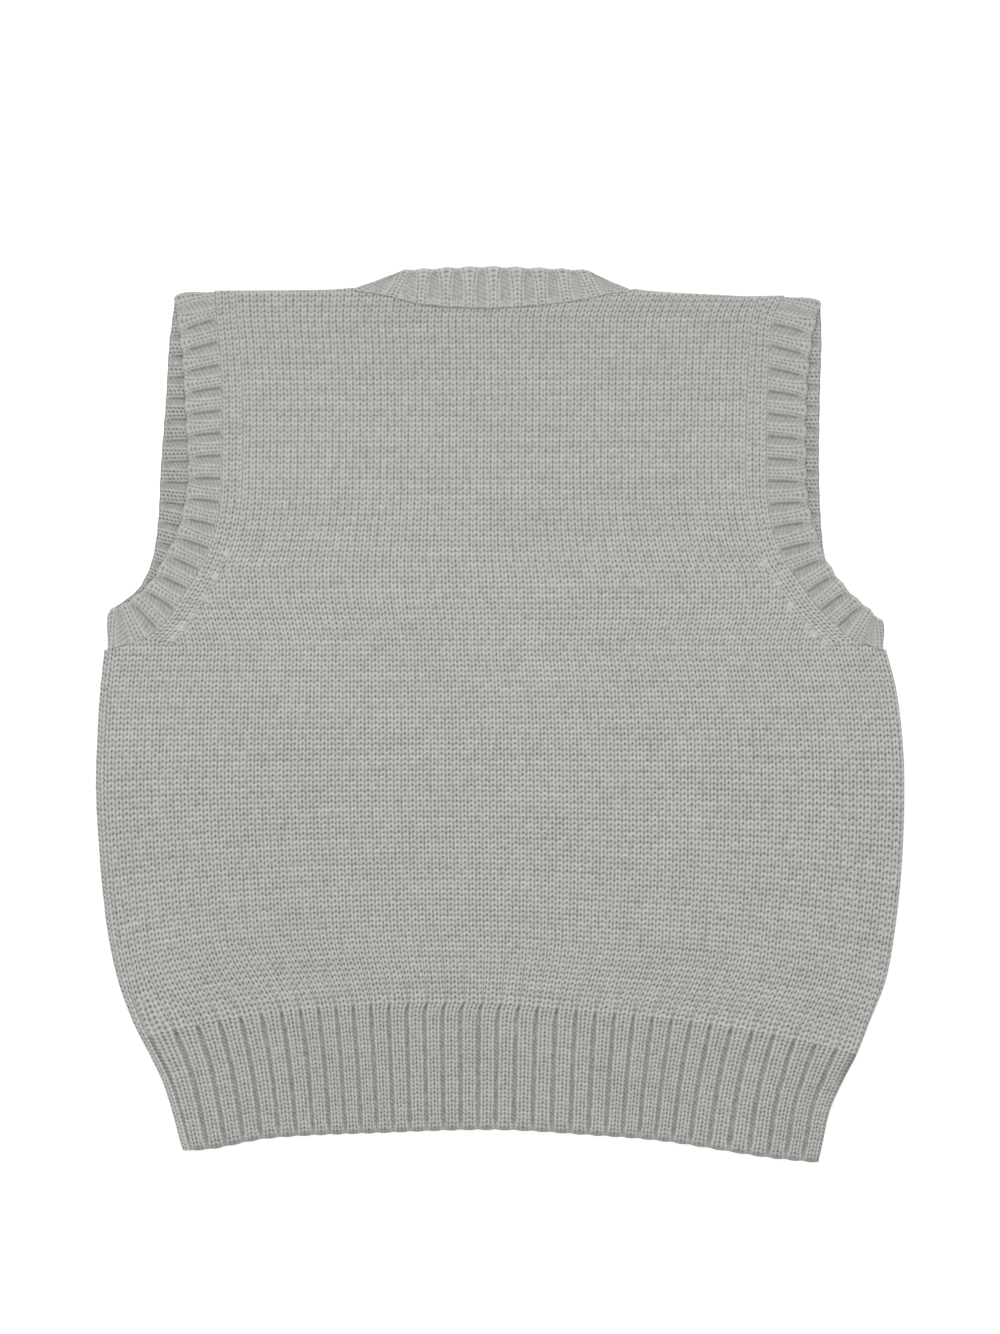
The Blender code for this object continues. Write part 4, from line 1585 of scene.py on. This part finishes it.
@dataclass
class BackHem(Panel):
    """The back's hem: two knit wales and a purl one, over and over."""

    rows: int = 4
    level: float = BACK_LEVEL
    courses: int = 30
    relief: Relief = Relief(
        notch=0.38,
        between=0.34,
        inside=0.34,
        dim_between=0.46,
        dim_inside=0.46,
        dusk=0.77,
        contrast=0.94,
        uneven=0.06,
        lean=0.39,
    )
    flare: float = 3.0  # courses above the cast-on edge where the purls close up
    scallop: float = 0.35  # how far the cast-on edge waves from rib to rib
    stretch: float = 9.0  # courses over which a purl wale opens or closes by itself

    def place(self, rib: Array, v: Array) -> tuple[Array, Array]:
        """The place of a stitch.

        Args:
            rib: places across, in ribs.
            v: courses from the cast-on edge.

        Returns:
            x and y.
        """
        away = self.courses - v
        rib = rib_head(rib, away, 1 - np.exp(-away / 1.5))
        rib = drawn_together(rib, np.maximum(fade(1 - (v - 0.2) / self.flare), self.closing(rib, v)))
        x, y = hem_point(rib, 1 - v / self.courses)
        return x, y + self.scallop * np.cos(2 * np.pi * rib) * fade(1 - v / 4)

    def closing(self, rib: Array, v: Array) -> Array:
        """How far each purl wale has closed by itself: it differs from rib to rib and along them.

        Args:
            rib: places across, in ribs.
            v: courses from the cast-on edge.

        Returns:
            0 for open to 1 for closed.
        """
        low = np.floor(v / self.stretch)
        wale = np.rint(rib) + 80
        drift = mixed(UNEVEN.read(2, wale, low + 40), UNEVEN.read(2, wale, low + 41), fade(v / self.stretch - low))
        # Most stay nearly open and a few close by up to a half; the seam holds them all
        return np.clip(0.08 + 0.17 * drift, 0.0, 0.45) * fade((self.courses - v) / 5.0)

    def over(self, x: Array, y: Array) -> Array:
        """The top of the ribs, with a shallow line above the rolled cast-on edge.

        Args:
            x: places across.
            y: places up the vest.

        Returns:
            The heights.
        """
        above = y - EDGE_Y(x)
        wall = rounded(above + 0.6, 3.0, 0.2) - 0.1 * np.exp(-(((above - 3.4) / 0.9) ** 2))
        wall *= rounded(x - left_side(y) - SIDE_TURN, 1.8, 0.85)
        wall *= rounded(right_side(y) - x, 2.4, 0.35)
        return BACK_LEVEL + RIB_TOP * wall

    def recess(self, rib: Array, v: Array) -> Array:
        """How deep the purls lie: deepest just below the panel.

        Args:
            rib: places across, in ribs.
            v: courses from the cast-on edge.

        Returns:
            The depths.
        """
        top = self.courses - v
        deep = 1.4 + 0.25 * np.exp(-(((top - 1.0) / 0.9) ** 2))
        # The purl beside the side seam is pulled flat
        deep = deep * mixed(0.45, 1.0, fade((rib - FIRST_RIB) / 0.7))
        return deep * fade((v - 0.9) / 1.6) * mixed(0.1, 1.0, fade(top / 0.7))

    def tone(self, rib: Array, x: Array, y: Array, shade: Array) -> Array:
        """Paint shade on the turn at the right, where one more purl trough runs, and an evened painted shade along
        the rolled cast-on edge, darker under the knit wales where the yarn rolls under.

        Args:
            rib: places across, in ribs.
            x: places across.
            y: places up the vest.
            shade: the stitches' own shade.

        Returns:
            The new shade.
        """
        upper, lower = fade((-204 - y) / 12), fade((y + 248) / 16)
        turn = np.exp(-(((right_side(y) - x - 1.6) / 3.1) ** 2)) * lower * upper
        shade = mixed(shade, 0.3 * shade + 0.56, turn)
        rim = np.exp(-(((y - EDGE_Y(x) - 1.2) / 2.1) ** 2))
        return mixed(shade, 0.4 - 0.1 * np.cos(2 * np.pi * rib) + 0.35 * shade, rim)

    def build(self) -> list[bpy.types.Object]:
        """Make the hem.

        Returns:
            Its object.
        """
        columns = columns_of(HEM_KINDS, RIB_EDGES, self.relief)
        high = np.full(len(columns.wale), float(self.courses))
        shell = Shell("back_hem_stitches")
        self.island(columns, 0 * high, high, self.place, recess=self.recess, tone=self.tone).add_to(shell)
        return [self.complete(shell, (0.475, 0.083), shell.plain_area(), ["front_hem_stitches"])]


@dataclass
class SideTurn:
    """Where the front turns up over the left side, to the side seam: three wales of knit stitches."""

    courses: float
    y_at: Callable[[Array], Array]  # the height of a place along the side, in courses
    relief: Relief = Relief()
    wales: int = 3
    rows: int = 3
    edge: float = SIDE_TURN + 0.1  # how far in it reaches over the left side
    thickness: float = BACK_LEVEL + WALL + 0.1

    def section(self, share: Array) -> tuple[Array, Array, Array, Array]:
        """The turn's section.

        Args:
            share: 0 at the lower end, 1 at the upper one.

        Returns:
            How far in from the outline, the height, and the outward direction's two parts.
        """
        radius = self.thickness / 2
        flat = self.edge - radius
        way = share * (2 * flat + math.pi * radius)
        angle = np.clip((way - flat) / radius, 0, math.pi)
        below, above = np.clip(flat - way, 0, None), np.clip(way - flat - math.pi * radius, 0, None)
        x = radius - radius * np.sin(angle) + below + above
        z = radius - radius * np.cos(angle)
        return x, z, -np.sin(angle), -np.cos(angle)

    def add_to(self, shell: Shell) -> None:
        """Lay the stitches round the side and close the piece.

        Args:
            shell: the piece that it belongs to.
        """
        columns = columns_of([Kind.KNIT] * self.wales, np.arange(self.wales + 1.0), self.relief)
        n = len(columns.wale)
        patch = knit_patch(columns, np.zeros(n), np.full(n, self.courses), self.rows)
        surface = Surface(columns, patch, self.relief)
        depth = surface.depth()
        inside, z, out_x, out_z = self.section(columns.place[patch.column] / self.wales)
        y = self.y_at(patch.v)
        x = left_side(y) + inside - out_x * depth
        z = np.clip(z - out_z * depth, 0.0, None)
        start = shell.add_patch(patch, columns, np.stack([x, y, z], axis=1), surface.shade())
        one = np.arange(patch.first[0], patch.last[0] + 1) + start
        other = np.arange(patch.first[-1], patch.last[-1] + 1) + start
        shell.add_strip(one, other, False, wall=True)
        for ring in (patch.first[::-1] + start, patch.last + start):
            shell.add_faces(np.stack([np.full(n - 2, ring[0]), ring[1:-1], ring[2:]], axis=1), wall=True)


@dataclass
class FrontPanel(Panel):
    """The front, in stockinette, under the back: it shows its stitches to what the vest lies on."""

    relief: Relief = Relief(hole=0.9, notch=0.3, uneven=0.05)
    arm_wales: int = 12
    middle: int = 54  # the wale where the two halves meet
    fold_radius: float = 3.2
    rise: float = 68.0

    def __post_init__(self) -> None:
        """Lay out the stitches."""
        half = SEAM_GAP / 2
        arms = arm_line(LEFT_FRONT, True, half), arm_line(RIGHT_FRONT, True, -half)
        self.body = BodyMap(*arms, self.arm_wales, inside=SIDE_TURN - SEAM_GAP, rise=self.rise, fans=False)
        for wale, line in zip((self.arm_wales, BODY_WALES - self.arm_wales), arms):
            self.body.ease_onto(wale, line, start=66.0, span=20.0, reach=16.0)
        right, left = rungs_between(NECK_FRONT_RIGHT, 60)[:, :2], rungs_between(NECK_FRONT_LEFT, 60)[:, :2]
        self.top = top_line(np.vstack([left[::-1], right[::-1]]))
        self.all = columns_of([Kind.KNIT] * BODY_WALES, ALL_WALES, self.relief)

    def below_top(self, x: Array, y: Array) -> Array:
        """How far below the shoulders and the neck's V a point lies."""
        return np.interp(x, self.top[:, 0], self.top[:, 1]) - SEAM_GAP / 2 - y

    def over(self, x: Array, y: Array) -> Array:
        """The lower face, raised at the folds.

        Args:
            x: places across.
            y: places up the vest.

        Returns:
            The heights.
        """
        side = rounded(right_side(y) - x, self.fold_radius, 0.15)
        wall = np.where(y < UNDERARM, side, 1.0)
        at_neck = (x > NECK_LEFT) & (x < NECK_RIGHT)
        wall *= np.where(at_neck, 1.0, rounded(self.below_top(x, y), self.fold_radius, 0.15))
        return (WALL - 0.05) * (1 - wall)

    def inside(self, x: Array, y: Array) -> Array:
        """How far a point lies inside the armhole seams.

        Args:
            x: places across.
            y: places up the vest.

        Returns:
            The distances, negative outside.
        """
        left = np.where(y < UNDERARM, 1.0, x - at_height(self.body.arm_left, y))
        right = np.where(y < UNDERARM, 1.0, at_height(self.body.arm_right, y) - x)
        return np.minimum(left, right)

    def build(self) -> list[bpy.types.Object]:
        """Make the two halves.

        Returns:
            Their objects.
        """
        arm, other_arm = self.arm_wales, BODY_WALES - self.arm_wales
        runs = {
            "front_stitches_left": ((0, arm, self.inside), (arm, self.middle, self.below_top)),
            "front_stitches_right": (
                (self.middle, other_arm, self.below_top),
                (other_arm, BODY_WALES, self.inside),
            ),
        }
        made = []
        for name, spans in runs.items():
            shell = Shell(name)
            for first, last, edge in spans:
                columns = self.all.cut(first, last)
                low = np.full(len(columns.wale), SEAM_GAP / 2 / COURSE)
                high = column_ends(self.body.place, columns.place, 50.0, edge)
                if first == 0:
                    high[-1] = high[-2] + 1.0
                if last == BODY_WALES:
                    high[0] = high[1] + 1.0
                self.island(columns, low, high, self.body.place, turned=True).add_to(shell)
            side = 0.0
            if name.endswith("left"):
                side = 0.003  # the turned-up side has no plain face
                SideTurn((UNDERARM - CORNER_Y) / COURSE, lambda v: CORNER_Y + COURSE * v + 0.02).add_to(shell)
            made.append(self.complete(shell, (0.27, 0.465), shell.plain_area() + side))
        return made


@dataclass
class FrontHem(Panel):
    """The front's hem rib."""

    courses: int = 30
    short: float = 1.5  # how much shorter it is than the back's
    relief: Relief = Relief(hole=0.8, notch=0.25, bump=0.4, uneven=0.05)

    def place(self, wale: Array, v: Array) -> tuple[Array, Array]:
        """The place of a stitch.

        Args:
            wale: its place across, in wales.
            v: courses from the cast-on edge.

        Returns:
            x and y.
        """
        share = 1 - v / self.courses
        across = wale / BODY_WALES
        guess = mixed(-231.0, 231.0, across)
        y = mixed(SEAM_Y(guess), EDGE_Y(guess) + self.short, share)
        for _ in range(3):
            x = mixed(left_side(y) + SIDE_TURN - SEAM_GAP, right_side(y) - SEAM_GAP / 2, across)
            y = mixed(SEAM_Y(x), EDGE_Y(x) + self.short, share)
        return x, y

    def over(self, x: Array, y: Array) -> Array:
        """The lower face, raised at the fold and the cast-on edge."""
        wall = rounded(right_side(y) - x, 3.0, 0.15) * rounded(y - EDGE_Y(x) - self.short + 0.3, 2.0, 0.25)
        return (WALL - 0.05) * (1 - wall)

    def recess(self, wale: Array, v: Array) -> Array:
        """How deep the purls lie."""
        return 0.9 * fade((v - 0.5) / 2.0) * fade((self.courses - v + 0.4) / 1.0)

    def build(self) -> list[bpy.types.Object]:
        """Make the hem.

        Returns:
            Its object.
        """
        columns = columns_of(HEM_KINDS, ALL_WALES, self.relief)
        high = np.full(len(columns.wale), self.courses - self.courses * SEAM_GAP / 2 / 82.0)
        shell = Shell("front_hem_stitches")
        self.island(columns, 0 * high, high, self.place, recess=self.recess, turned=True).add_to(shell)
        foot = FOOT_Y + 0.4

        def y_at(v: Array) -> Array:
            """The height of a course along the side."""
            return foot + (CORNER_Y - 0.02 - foot) * v / self.courses

        SideTurn(float(self.courses), y_at, Relief(hole=1.0)).add_to(shell)
        return [self.complete(shell, (0.48, 0.082), shell.plain_area() + 0.001)]


class Sections(NamedTuple):
    """Sections of a band, one row each."""

    seam: Array
    free: Array
    angle: Array
    outwards: Array


class Stretch(NamedTuple):
    """A flat stretch of a band, between two places round its loop."""

    start: float
    end: float
    curve: Curve
    angle: float


class Fold(NamedTuple):
    """Where a band folds over at its end, one rib long."""

    start: float
    rung: Array
    outwards: Array
    down: bool  # True from the back to the front


WRONG_SIDE = Relief(hole=0.8, notch=0.15, between=0.15, inside=0.15, bump=0.25, dusk=0.5, uneven=0.04)


@dataclass
class Band(Piece):
    """A ribbed band that lies over the back, folds at its ends and goes on under the front."""

    name: str
    back: Sequence[Rung]
    fronts: Sequence[Sequence[Rung]]
    pitch: float
    rests: str
    courses: int = 9
    rows: int = 4
    inner_rows: int = 2
    width: float = 25.0
    knit: float = 0.3  # share of a rib from its middle to the purl
    plain_start: float = 0.2  # courses of stockinette at the seam
    start: float = 0.3  # depth of the first stitches, as a share of the others'
    close: float = 0.62  # how far the purls close at the free edge
    fold_start: float = 0.25  # roundness of the fold at the seam
    fold_end: float = 1.0  # and at the free edge
    seam_dip: float = 0.93  # share of the height that is left at the seam
    scallop: float = 0.5
    crease: float = 0.45  # how much deeper a purl lies beside the rib that hangs over it, which also paints shade there
    calm: float = 1.6  # ribs beside a fold over which the purls come to their depth
    corner: float = 0.6  # how far the fold's outer end is rounded off
    murk: float = 0.0  # shade over the whole band
    relief: Relief = Relief(hole=0.7, notch=0.12, between=0.25, inside=0.25, bump=0.6, contrast=0.9, uneven=0.04)

    def __post_init__(self) -> None:
        """Join the stretches and the folds to one loop."""
        self.stretches: list[Stretch] = []
        self.folds: list[Fold] = []
        self.kinds: list[Kind] = []
        self.edges: list[float] = []
        self.total, self.length = 0.0, 0.0
        self.add_stretch(self.back, 0.0)
        self.add_fold(self.back[-1], self.back[-2], True)
        for front in self.fronts:
            self.add_stretch(front, math.pi)
        self.add_fold(self.back[0], self.back[1], False)
        self.edges.append(self.total)
        # From inside, knit and purl change places, and there too the purls are the narrow wales
        wide = 0.5 - self.knit
        moved = {self.knit: wide, 1 - self.knit: 1 - wide}
        self.inner_edges = [
            edge - edge % 1 + moved.get(round(edge % 1, 6), edge % 1) if self.in_stretch(edge) else edge
            for edge in self.edges
        ]

    def add_stretch(self, rows: Sequence[Rung], angle: float) -> None:
        """Add whole ribs along a table.

        Args:
            rows: the table.
            angle: 0 over the back, pi under the front.
        """
        values = np.asarray(rows, float)
        keys = rung_keys(values)
        count = max(1, round(keys[-1] / self.pitch))
        self.length += keys[-1]
        self.stretches.append(Stretch(self.total, self.total + count, Curve(keys * count / keys[-1], values), angle))
        for rib in range(count):
            self.kinds += [Kind.KNIT, Kind.PURL, Kind.PURL, Kind.KNIT]
            self.edges += [self.total + rib + share for share in (0.0, self.knit, 0.5, 1 - self.knit)]
        self.total += count

    def add_fold(self, end: Rung, beside: Rung, down: bool) -> None:
        """Add two knit wales round a fold.

        Args:
            end: the section that folds.
            beside: the section before it.
            down: True from the back to the front.
        """
        rung, near = np.array(end), np.array(beside)
        towards = (rung[:2] + rung[2:] - near[:2] - near[2:]) / 2
        line = rung[2:] - rung[:2]
        square = np.array([line[1], -line[0]]) / np.linalg.norm(line)
        self.folds.append(Fold(self.total, rung, square if square @ towards > 0 else -square, down))
        self.kinds += [Kind.KNIT, Kind.KNIT]
        self.edges += [self.total, self.total + 0.5]
        self.total += 1

    def in_stretch(self, at: float) -> bool:
        """True for a place on a flat stretch, away from the folds."""
        return any(stretch.start <= at <= stretch.end for stretch in self.stretches)

    def sections(self, at: Array) -> Sections:
        """The sections at places round the loop.

        Args:
            at: the places.

        Returns:
            The sections.
        """
        at = np.mod(at, self.total)
        rungs = np.zeros((len(at), 4))
        angle = np.zeros(len(at))
        outwards = np.zeros((len(at), 2))
        for stretch in self.stretches:
            here = (at >= stretch.start) & (at <= stretch.end)
            rungs[here] = stretch.curve(at[here] - stretch.start)
            angle[here] = stretch.angle
        for fold in self.folds:
            here = (at > fold.start) & (at < fold.start + 1)
            share = at[here] - fold.start
            rungs[here] = fold.rung
            angle[here] = math.pi * (share if fold.down else 1 - share)
            outwards[here] = fold.outwards
        return Sections(rungs[:, :2], rungs[:, 2:], angle, outwards)

    def drawn_in(self, at: Array, v: Array) -> Array:
        """Close up the purls towards the free edge.

        Args:
            at: places round the loop.
            v: courses from the seam.

        Returns:
            The moved places round the loop.
        """
        off = at - np.rint(at)
        out = np.clip(v / self.courses, 0, 1)
        power = mixed(1 - self.close * out**2.6, 1 + 0.4 * out, self.front_share(at))
        moved = np.sign(off) * 0.5 * np.abs(2 * off) ** power
        folded = np.zeros(len(at), bool)
        for fold in self.folds:
            folded |= (at >= fold.start) & (at <= fold.start + 1)
        return np.where(folded, at, np.rint(at) + moved)

    def points(self, at: Array, across: Array, height: Array) -> Array:
        """Points of the band.

        Args:
            at: places round the loop.
            across: share of the width, from the seam.
            height: distance from the layer's inner level.

        Returns:
            x, y and z, one row each.
        """
        found = self.sections(at)
        width = np.linalg.norm(found.free - found.seam, axis=1)
        wave = self.scallop * np.cos(2 * np.pi * at) * fade((across - 0.8) / 0.2)
        wave *= mixed(1.0, 0.25, (1 - np.cos(found.angle)) / 2) * (1 - np.abs(np.sin(found.angle)))
        tuck = 0.35  # how far the band reaches past its seam, towards the panel
        share = (-tuck + (width + tuck) * across + wave) / width
        reach = LAYER_GAP / 2 + height
        flat = found.seam + (found.free - found.seam) * share[:, None]
        bulge = reach * np.sin(found.angle) * mixed(self.fold_start, self.fold_end, fade(across / 0.7))
        bulge *= 1 - self.corner * np.clip((across - 0.75) / 0.25, 0, 1) ** 2
        flat = flat + found.outwards * bulge[:, None]
        return np.column_stack([flat, WALL + LAYER_GAP / 2 + reach * np.cos(found.angle)])

    def front_share(self, at: Array) -> Array:
        """0 over the back, 1 under the front."""
        return (1 - np.cos(self.sections(at).angle)) / 2

    def level(self, at: Array, v: Array) -> Array:
        """The top of the ribs over the inner level: drawn in at the seam, rounded at the free edge.

        Args:
            at: places round the loop.
            v: courses from the seam.

        Returns:
            The heights.
        """
        full = mixed(RIB_TOP, WALL, self.front_share(at))
        reach = v / self.courses * self.width
        dip = mixed(0.97, self.seam_dip, fade(self.beside_fold(at) / 4.0))
        return full * rounded(reach, 1.6, dip) * rounded(self.width - reach, 2.6, 0.62)

    def beside_fold(self, at: Array) -> Array:
        """The distance from the nearest fold.

        Args:
            at: places round the loop.

        Returns:
            The distances, in ribs.
        """
        places = [place for fold in self.folds for place in (fold.start, fold.start + 1)]
        half = self.total / 2
        return np.min([np.abs(np.mod(at - place + half, self.total) - half) for place in places], axis=0)

    def recess(self, at: Array, v: Array) -> Array:
        """How deep the purls lie.

        Args:
            at: places round the loop.
            v: courses from the seam.

        Returns:
            The depths.
        """
        crease = self.crease * np.exp(-(((np.mod(at, 1.0) - self.knit - 0.06) / 0.06) ** 2))
        deep = mixed(self.relief.recess + crease, 0.9, self.front_share(at))
        deep = deep * mixed(0.15, 1.0, fade(self.beside_fold(at) / self.calm))
        return deep * fade((self.courses - v - 0.2) / 2.4) * fade((v - self.plain_start + 0.5) / 1.2)

    def outer_face(self, columns: Columns, patch: Patch, at: Array) -> tuple[Array, Array]:
        """Shape the face that shows.

        Args:
            columns: the layer's columns.
            patch: its stitches.
            at: the place of each point round the loop.

        Returns:
            The height and the shade of each point.
        """
        surface = Surface(columns, patch, self.relief, self.recess(at, patch.v))
        height = self.level(at, patch.v) - surface.depth() * mixed(self.start, 1.0, fade(patch.v / 0.9))
        return height, mixed(surface.shade(), 1.0, self.murk)

    def inner_face(self, columns: Columns, patch: Patch, at: Array) -> tuple[Array, Array]:
        """Shape the inner face, which is ribbed only on the front's part.

        Args:
            columns: the layer's columns.
            patch: its stitches.
            at: the place of each point round the loop.

        Returns:
            The height and the shade of each point.
        """
        share = self.front_share(at)
        crease = np.exp(-(((np.mod(at, 1.0) - 0.14) / 0.06) ** 2))
        recess = (1.2 + 0.8 * crease) * fade((self.courses - patch.v - 0.2) / 1.6) * fade(patch.v / 1.2)
        surface = Surface(columns, patch, WRONG_SIDE, recess)
        # Painted shade: the front's part lies lower, in the shade of the band over it, so its shade is raised by
        # 0.12; the deeper crease beside each rib is darker too
        return np.clip(surface.depth(), 0.0, 1.3) * share, mixed(0.4, 0.12 + surface.shade(), share)

    def clockwise(self) -> bool:
        """Find which way the loop runs.

        Returns:
            True where it runs clockwise round its opening, seen from above.
        """
        first = self.sections(np.array([1.0, 1.1]))
        along, width = first.seam[1] - first.seam[0], first.free[0] - first.seam[0]
        return bool(along[0] * width[1] - along[1] * width[0] < 0)

    def build(self) -> list[bpy.types.Object]:
        """Make the band.

        Returns:
            Its object.
        """
        outer = columns_of(self.kinds, self.edges, self.relief, closed=True)
        swapped = [Kind.KNIT if kind is Kind.PURL else Kind.PURL for kind in self.kinds]
        inner = columns_of(swapped, self.inner_edges, self.relief, closed=True)
        n = len(outer.wale)
        turned = self.clockwise()
        shell = Shell(self.name)

        sides = []
        for columns, rows, face, way in (
            (outer, self.rows, self.outer_face, turned),
            (inner, self.inner_rows, self.inner_face, not turned),
        ):
            patch = knit_patch(columns, np.zeros(n), np.full(n, self.courses - 0.25), rows, closed=True)
            at = self.drawn_in(columns.place[patch.column], patch.v)
            height, shade = face(columns, patch, at)
            points = self.points(at, patch.v / self.courses, height)
            start = shell.add_patch(patch, columns, points, shade, way)
            sides.append((patch.first + start, patch.last + start))
        (outer_first, outer_last), (inner_first, inner_last) = sides

        at = self.drawn_in(outer.place, np.full(n, float(self.courses)))
        full = mixed(RIB_CREST, WALL, self.front_share(at))
        stitch = np.stack([outer.wale, np.full(n, float(self.courses))], axis=1)
        rims = []
        for across, height in ((0.995, 0.62), (1.0, 0.42), (0.993, 0.16)):
            start = shell.add_points(self.points(at, np.full(n, across), full * height), stitch, 0.1)
            rims.append(np.arange(n) + start)
        # The ring at the seam carries painted shade, as down in the seam's crease
        start = shell.add_points(self.points(outer.place, np.zeros(n), full * 0.3), 0 * stitch, 0.6)
        seam = np.arange(n) + start
        for one, other in zip([outer_last, *rims], [*rims, inner_last]):
            shell.add_strip(one, other, True, turned)
        for one, other in ((outer_first, seam), (seam, inner_first)):
            shell.add_strip(one, other, True, not turned)

        sections = self.sections(np.linspace(0, self.total, 400, endpoint=False))
        width = float(np.linalg.norm(sections.free - sections.seam, axis=1).mean()) * MM
        length = (self.length + 2 * math.pi * BACK_LEVEL) * MM
        return [self.complete(shell, (round(length, 3), round(width, 4)), length * width, [self.rests])]


# Setting


class Lamp(NamedTuple):
    """A square soft light that faces the vest."""

    name: str
    place: tuple[float, float, float]
    side: float  # in metres
    power: float  # in watts


@dataclass
class Studio:
    """A pale floor, soft light from above and a camera looking straight down."""

    floor_size: float = 12.0
    glow: float = 0.22  # of the floor
    lamps: tuple[Lamp, ...] = (
        Lamp("softbox beyond the neck", (-0.5, 5.0, 4.0), 3.2, 232.0),
        Lamp("overhead panel", (0.0, -0.9, 3.1), 2.4, 58.5),
    )
    room_colour: str = "f4f6f8"
    room_light: float = 0.41
    frame_height: float = 0.8671  # how much the camera sees, in metres
    centre_y: float = 0.0309
    focal_length: float = 100.0
    sensor: float = 36.0

    def floor(self) -> None:
        """Lay the floor: a matt white board, faintly lit from below as a light table is."""
        bpy.ops.object.select_all(action="DESELECT")
        bpy.ops.mesh.primitive_plane_add(size=self.floor_size, location=(0.0, 0.0, -0.0002))
        board = bpy.context.object
        board.name = "floor"
        bpy.ops.object.transform_apply(location=True, rotation=False, scale=False)
        material = bpy.data.materials.new("matt white board")
        material.use_nodes = True
        tree = material.node_tree
        # Wide clouds that are barely darker keep the board from looking like a bare colour
        place = node(tree, "TexCoord", "Object")
        cloud = node(tree, "TexNoise", "Fac", {"Vector": place, "Scale": 3.0, "Detail": 3.0})
        looks = {
            "Base Color": blended(tree, cloud, "fbfbfa", "f7f7f6"),
            "Roughness": 0.9,
            "Emission Color": linear("ffffff"),
            "Emission Strength": self.glow,
        }
        feed(tree.nodes["Principled BSDF"], looks)
        board.data.materials.append(material)

    def light(self, lamp: Lamp) -> None:
        """Hang one light.

        Args:
            lamp: its place, side and power.
        """
        data = bpy.data.lights.new(lamp.name, "AREA")
        data.size = lamp.side
        data.energy = lamp.power
        hung = bpy.data.objects.new(lamp.name, data)
        hung.location = lamp.place
        hung.rotation_euler = (-Vector(lamp.place)).to_track_quat("-Z", "Y").to_euler()
        bpy.context.scene.collection.objects.link(hung)

    def room(self) -> None:
        """Fill the room with pale light."""
        world = bpy.data.worlds.new("pale room")
        world.use_nodes = True
        feed(
            world.node_tree.nodes["Background"],
            {"Color": linear(self.room_colour), "Strength": self.room_light},
        )
        bpy.context.scene.world = world

    def camera(self) -> None:
        """Hang the camera straight over the vest."""
        lens = bpy.data.cameras.new("camera")
        lens.lens = self.focal_length
        lens.sensor_fit = "VERTICAL"
        lens.sensor_height = self.sensor
        lens.clip_end = 50.0
        camera = bpy.data.objects.new("camera", lens)
        camera.location = (0.0, self.centre_y, self.frame_height * self.focal_length / self.sensor)
        bpy.context.scene.collection.objects.link(camera)
        bpy.context.scene.camera = camera

    def build(self) -> None:
        """Set up the floor, the lights and the camera."""
        self.floor()
        for lamp in self.lamps:
            self.light(lamp)
        self.room()
        self.camera()
        bpy.context.scene.view_settings.view_transform = "Standard"


def write_sizes() -> None:
    """Update the view layer."""
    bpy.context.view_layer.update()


def main() -> None:
    """Build the vest and its setting."""
    logging.basicConfig(level=logging.INFO, format="%(message)s")
    body = WoolFinish("soft_wool_stockinette").build()
    rib = WoolFinish("soft_wool_rib", streak=0.035).build()
    neckband = Band(
        "neckband",
        Slot.RIB,
        rib,
        "neckband_stitches",
        NECK_BACK,
        (NECK_FRONT_RIGHT, NECK_FRONT_LEFT),
        pitch=15.1,
        rests="back_stitches_left",
        plain_start=1.2,
        start=1.0,
        fold_start=0.7,
        fold_end=0.3,
        seam_dip=0.82,
        crease=0.15,
        calm=2.4,
        murk=0.03,
        relief=Relief(hole=0.9, notch=0.2, bump=0.3, contrast=0.92, uneven=0.05),
    )
    left = ("armhole_band_left", Slot.RIB, rib, "armhole_left_stitches", LEFT_BACK, (LEFT_FRONT,))
    right = ("armhole_band_right", Slot.RIB, rib, "armhole_right_stitches", RIGHT_BACK, (RIGHT_FRONT,))
    pieces: list[Piece] = [
        BackPanel("back_panel", Slot.STOCKINETTE, body),
        BackHem("back_hem_rib", Slot.RIB, rib),
        FrontPanel("front_panel", Slot.STOCKINETTE, body),
        FrontHem("front_hem_rib", Slot.RIB, rib),
        neckband,
        Band(*left, pitch=14.0, rests="back_stitches_left", murk=0.085),
        Band(*right, pitch=14.0, rests="back_stitches_right", corner=0.2, murk=0.1),
    ]
    for piece in pieces:
        for made in piece.build():
            LOG.info("built %s for %s", made.name, piece.node)
    Studio().build()
    write_sizes()


if __name__ == "__main__":
    main()
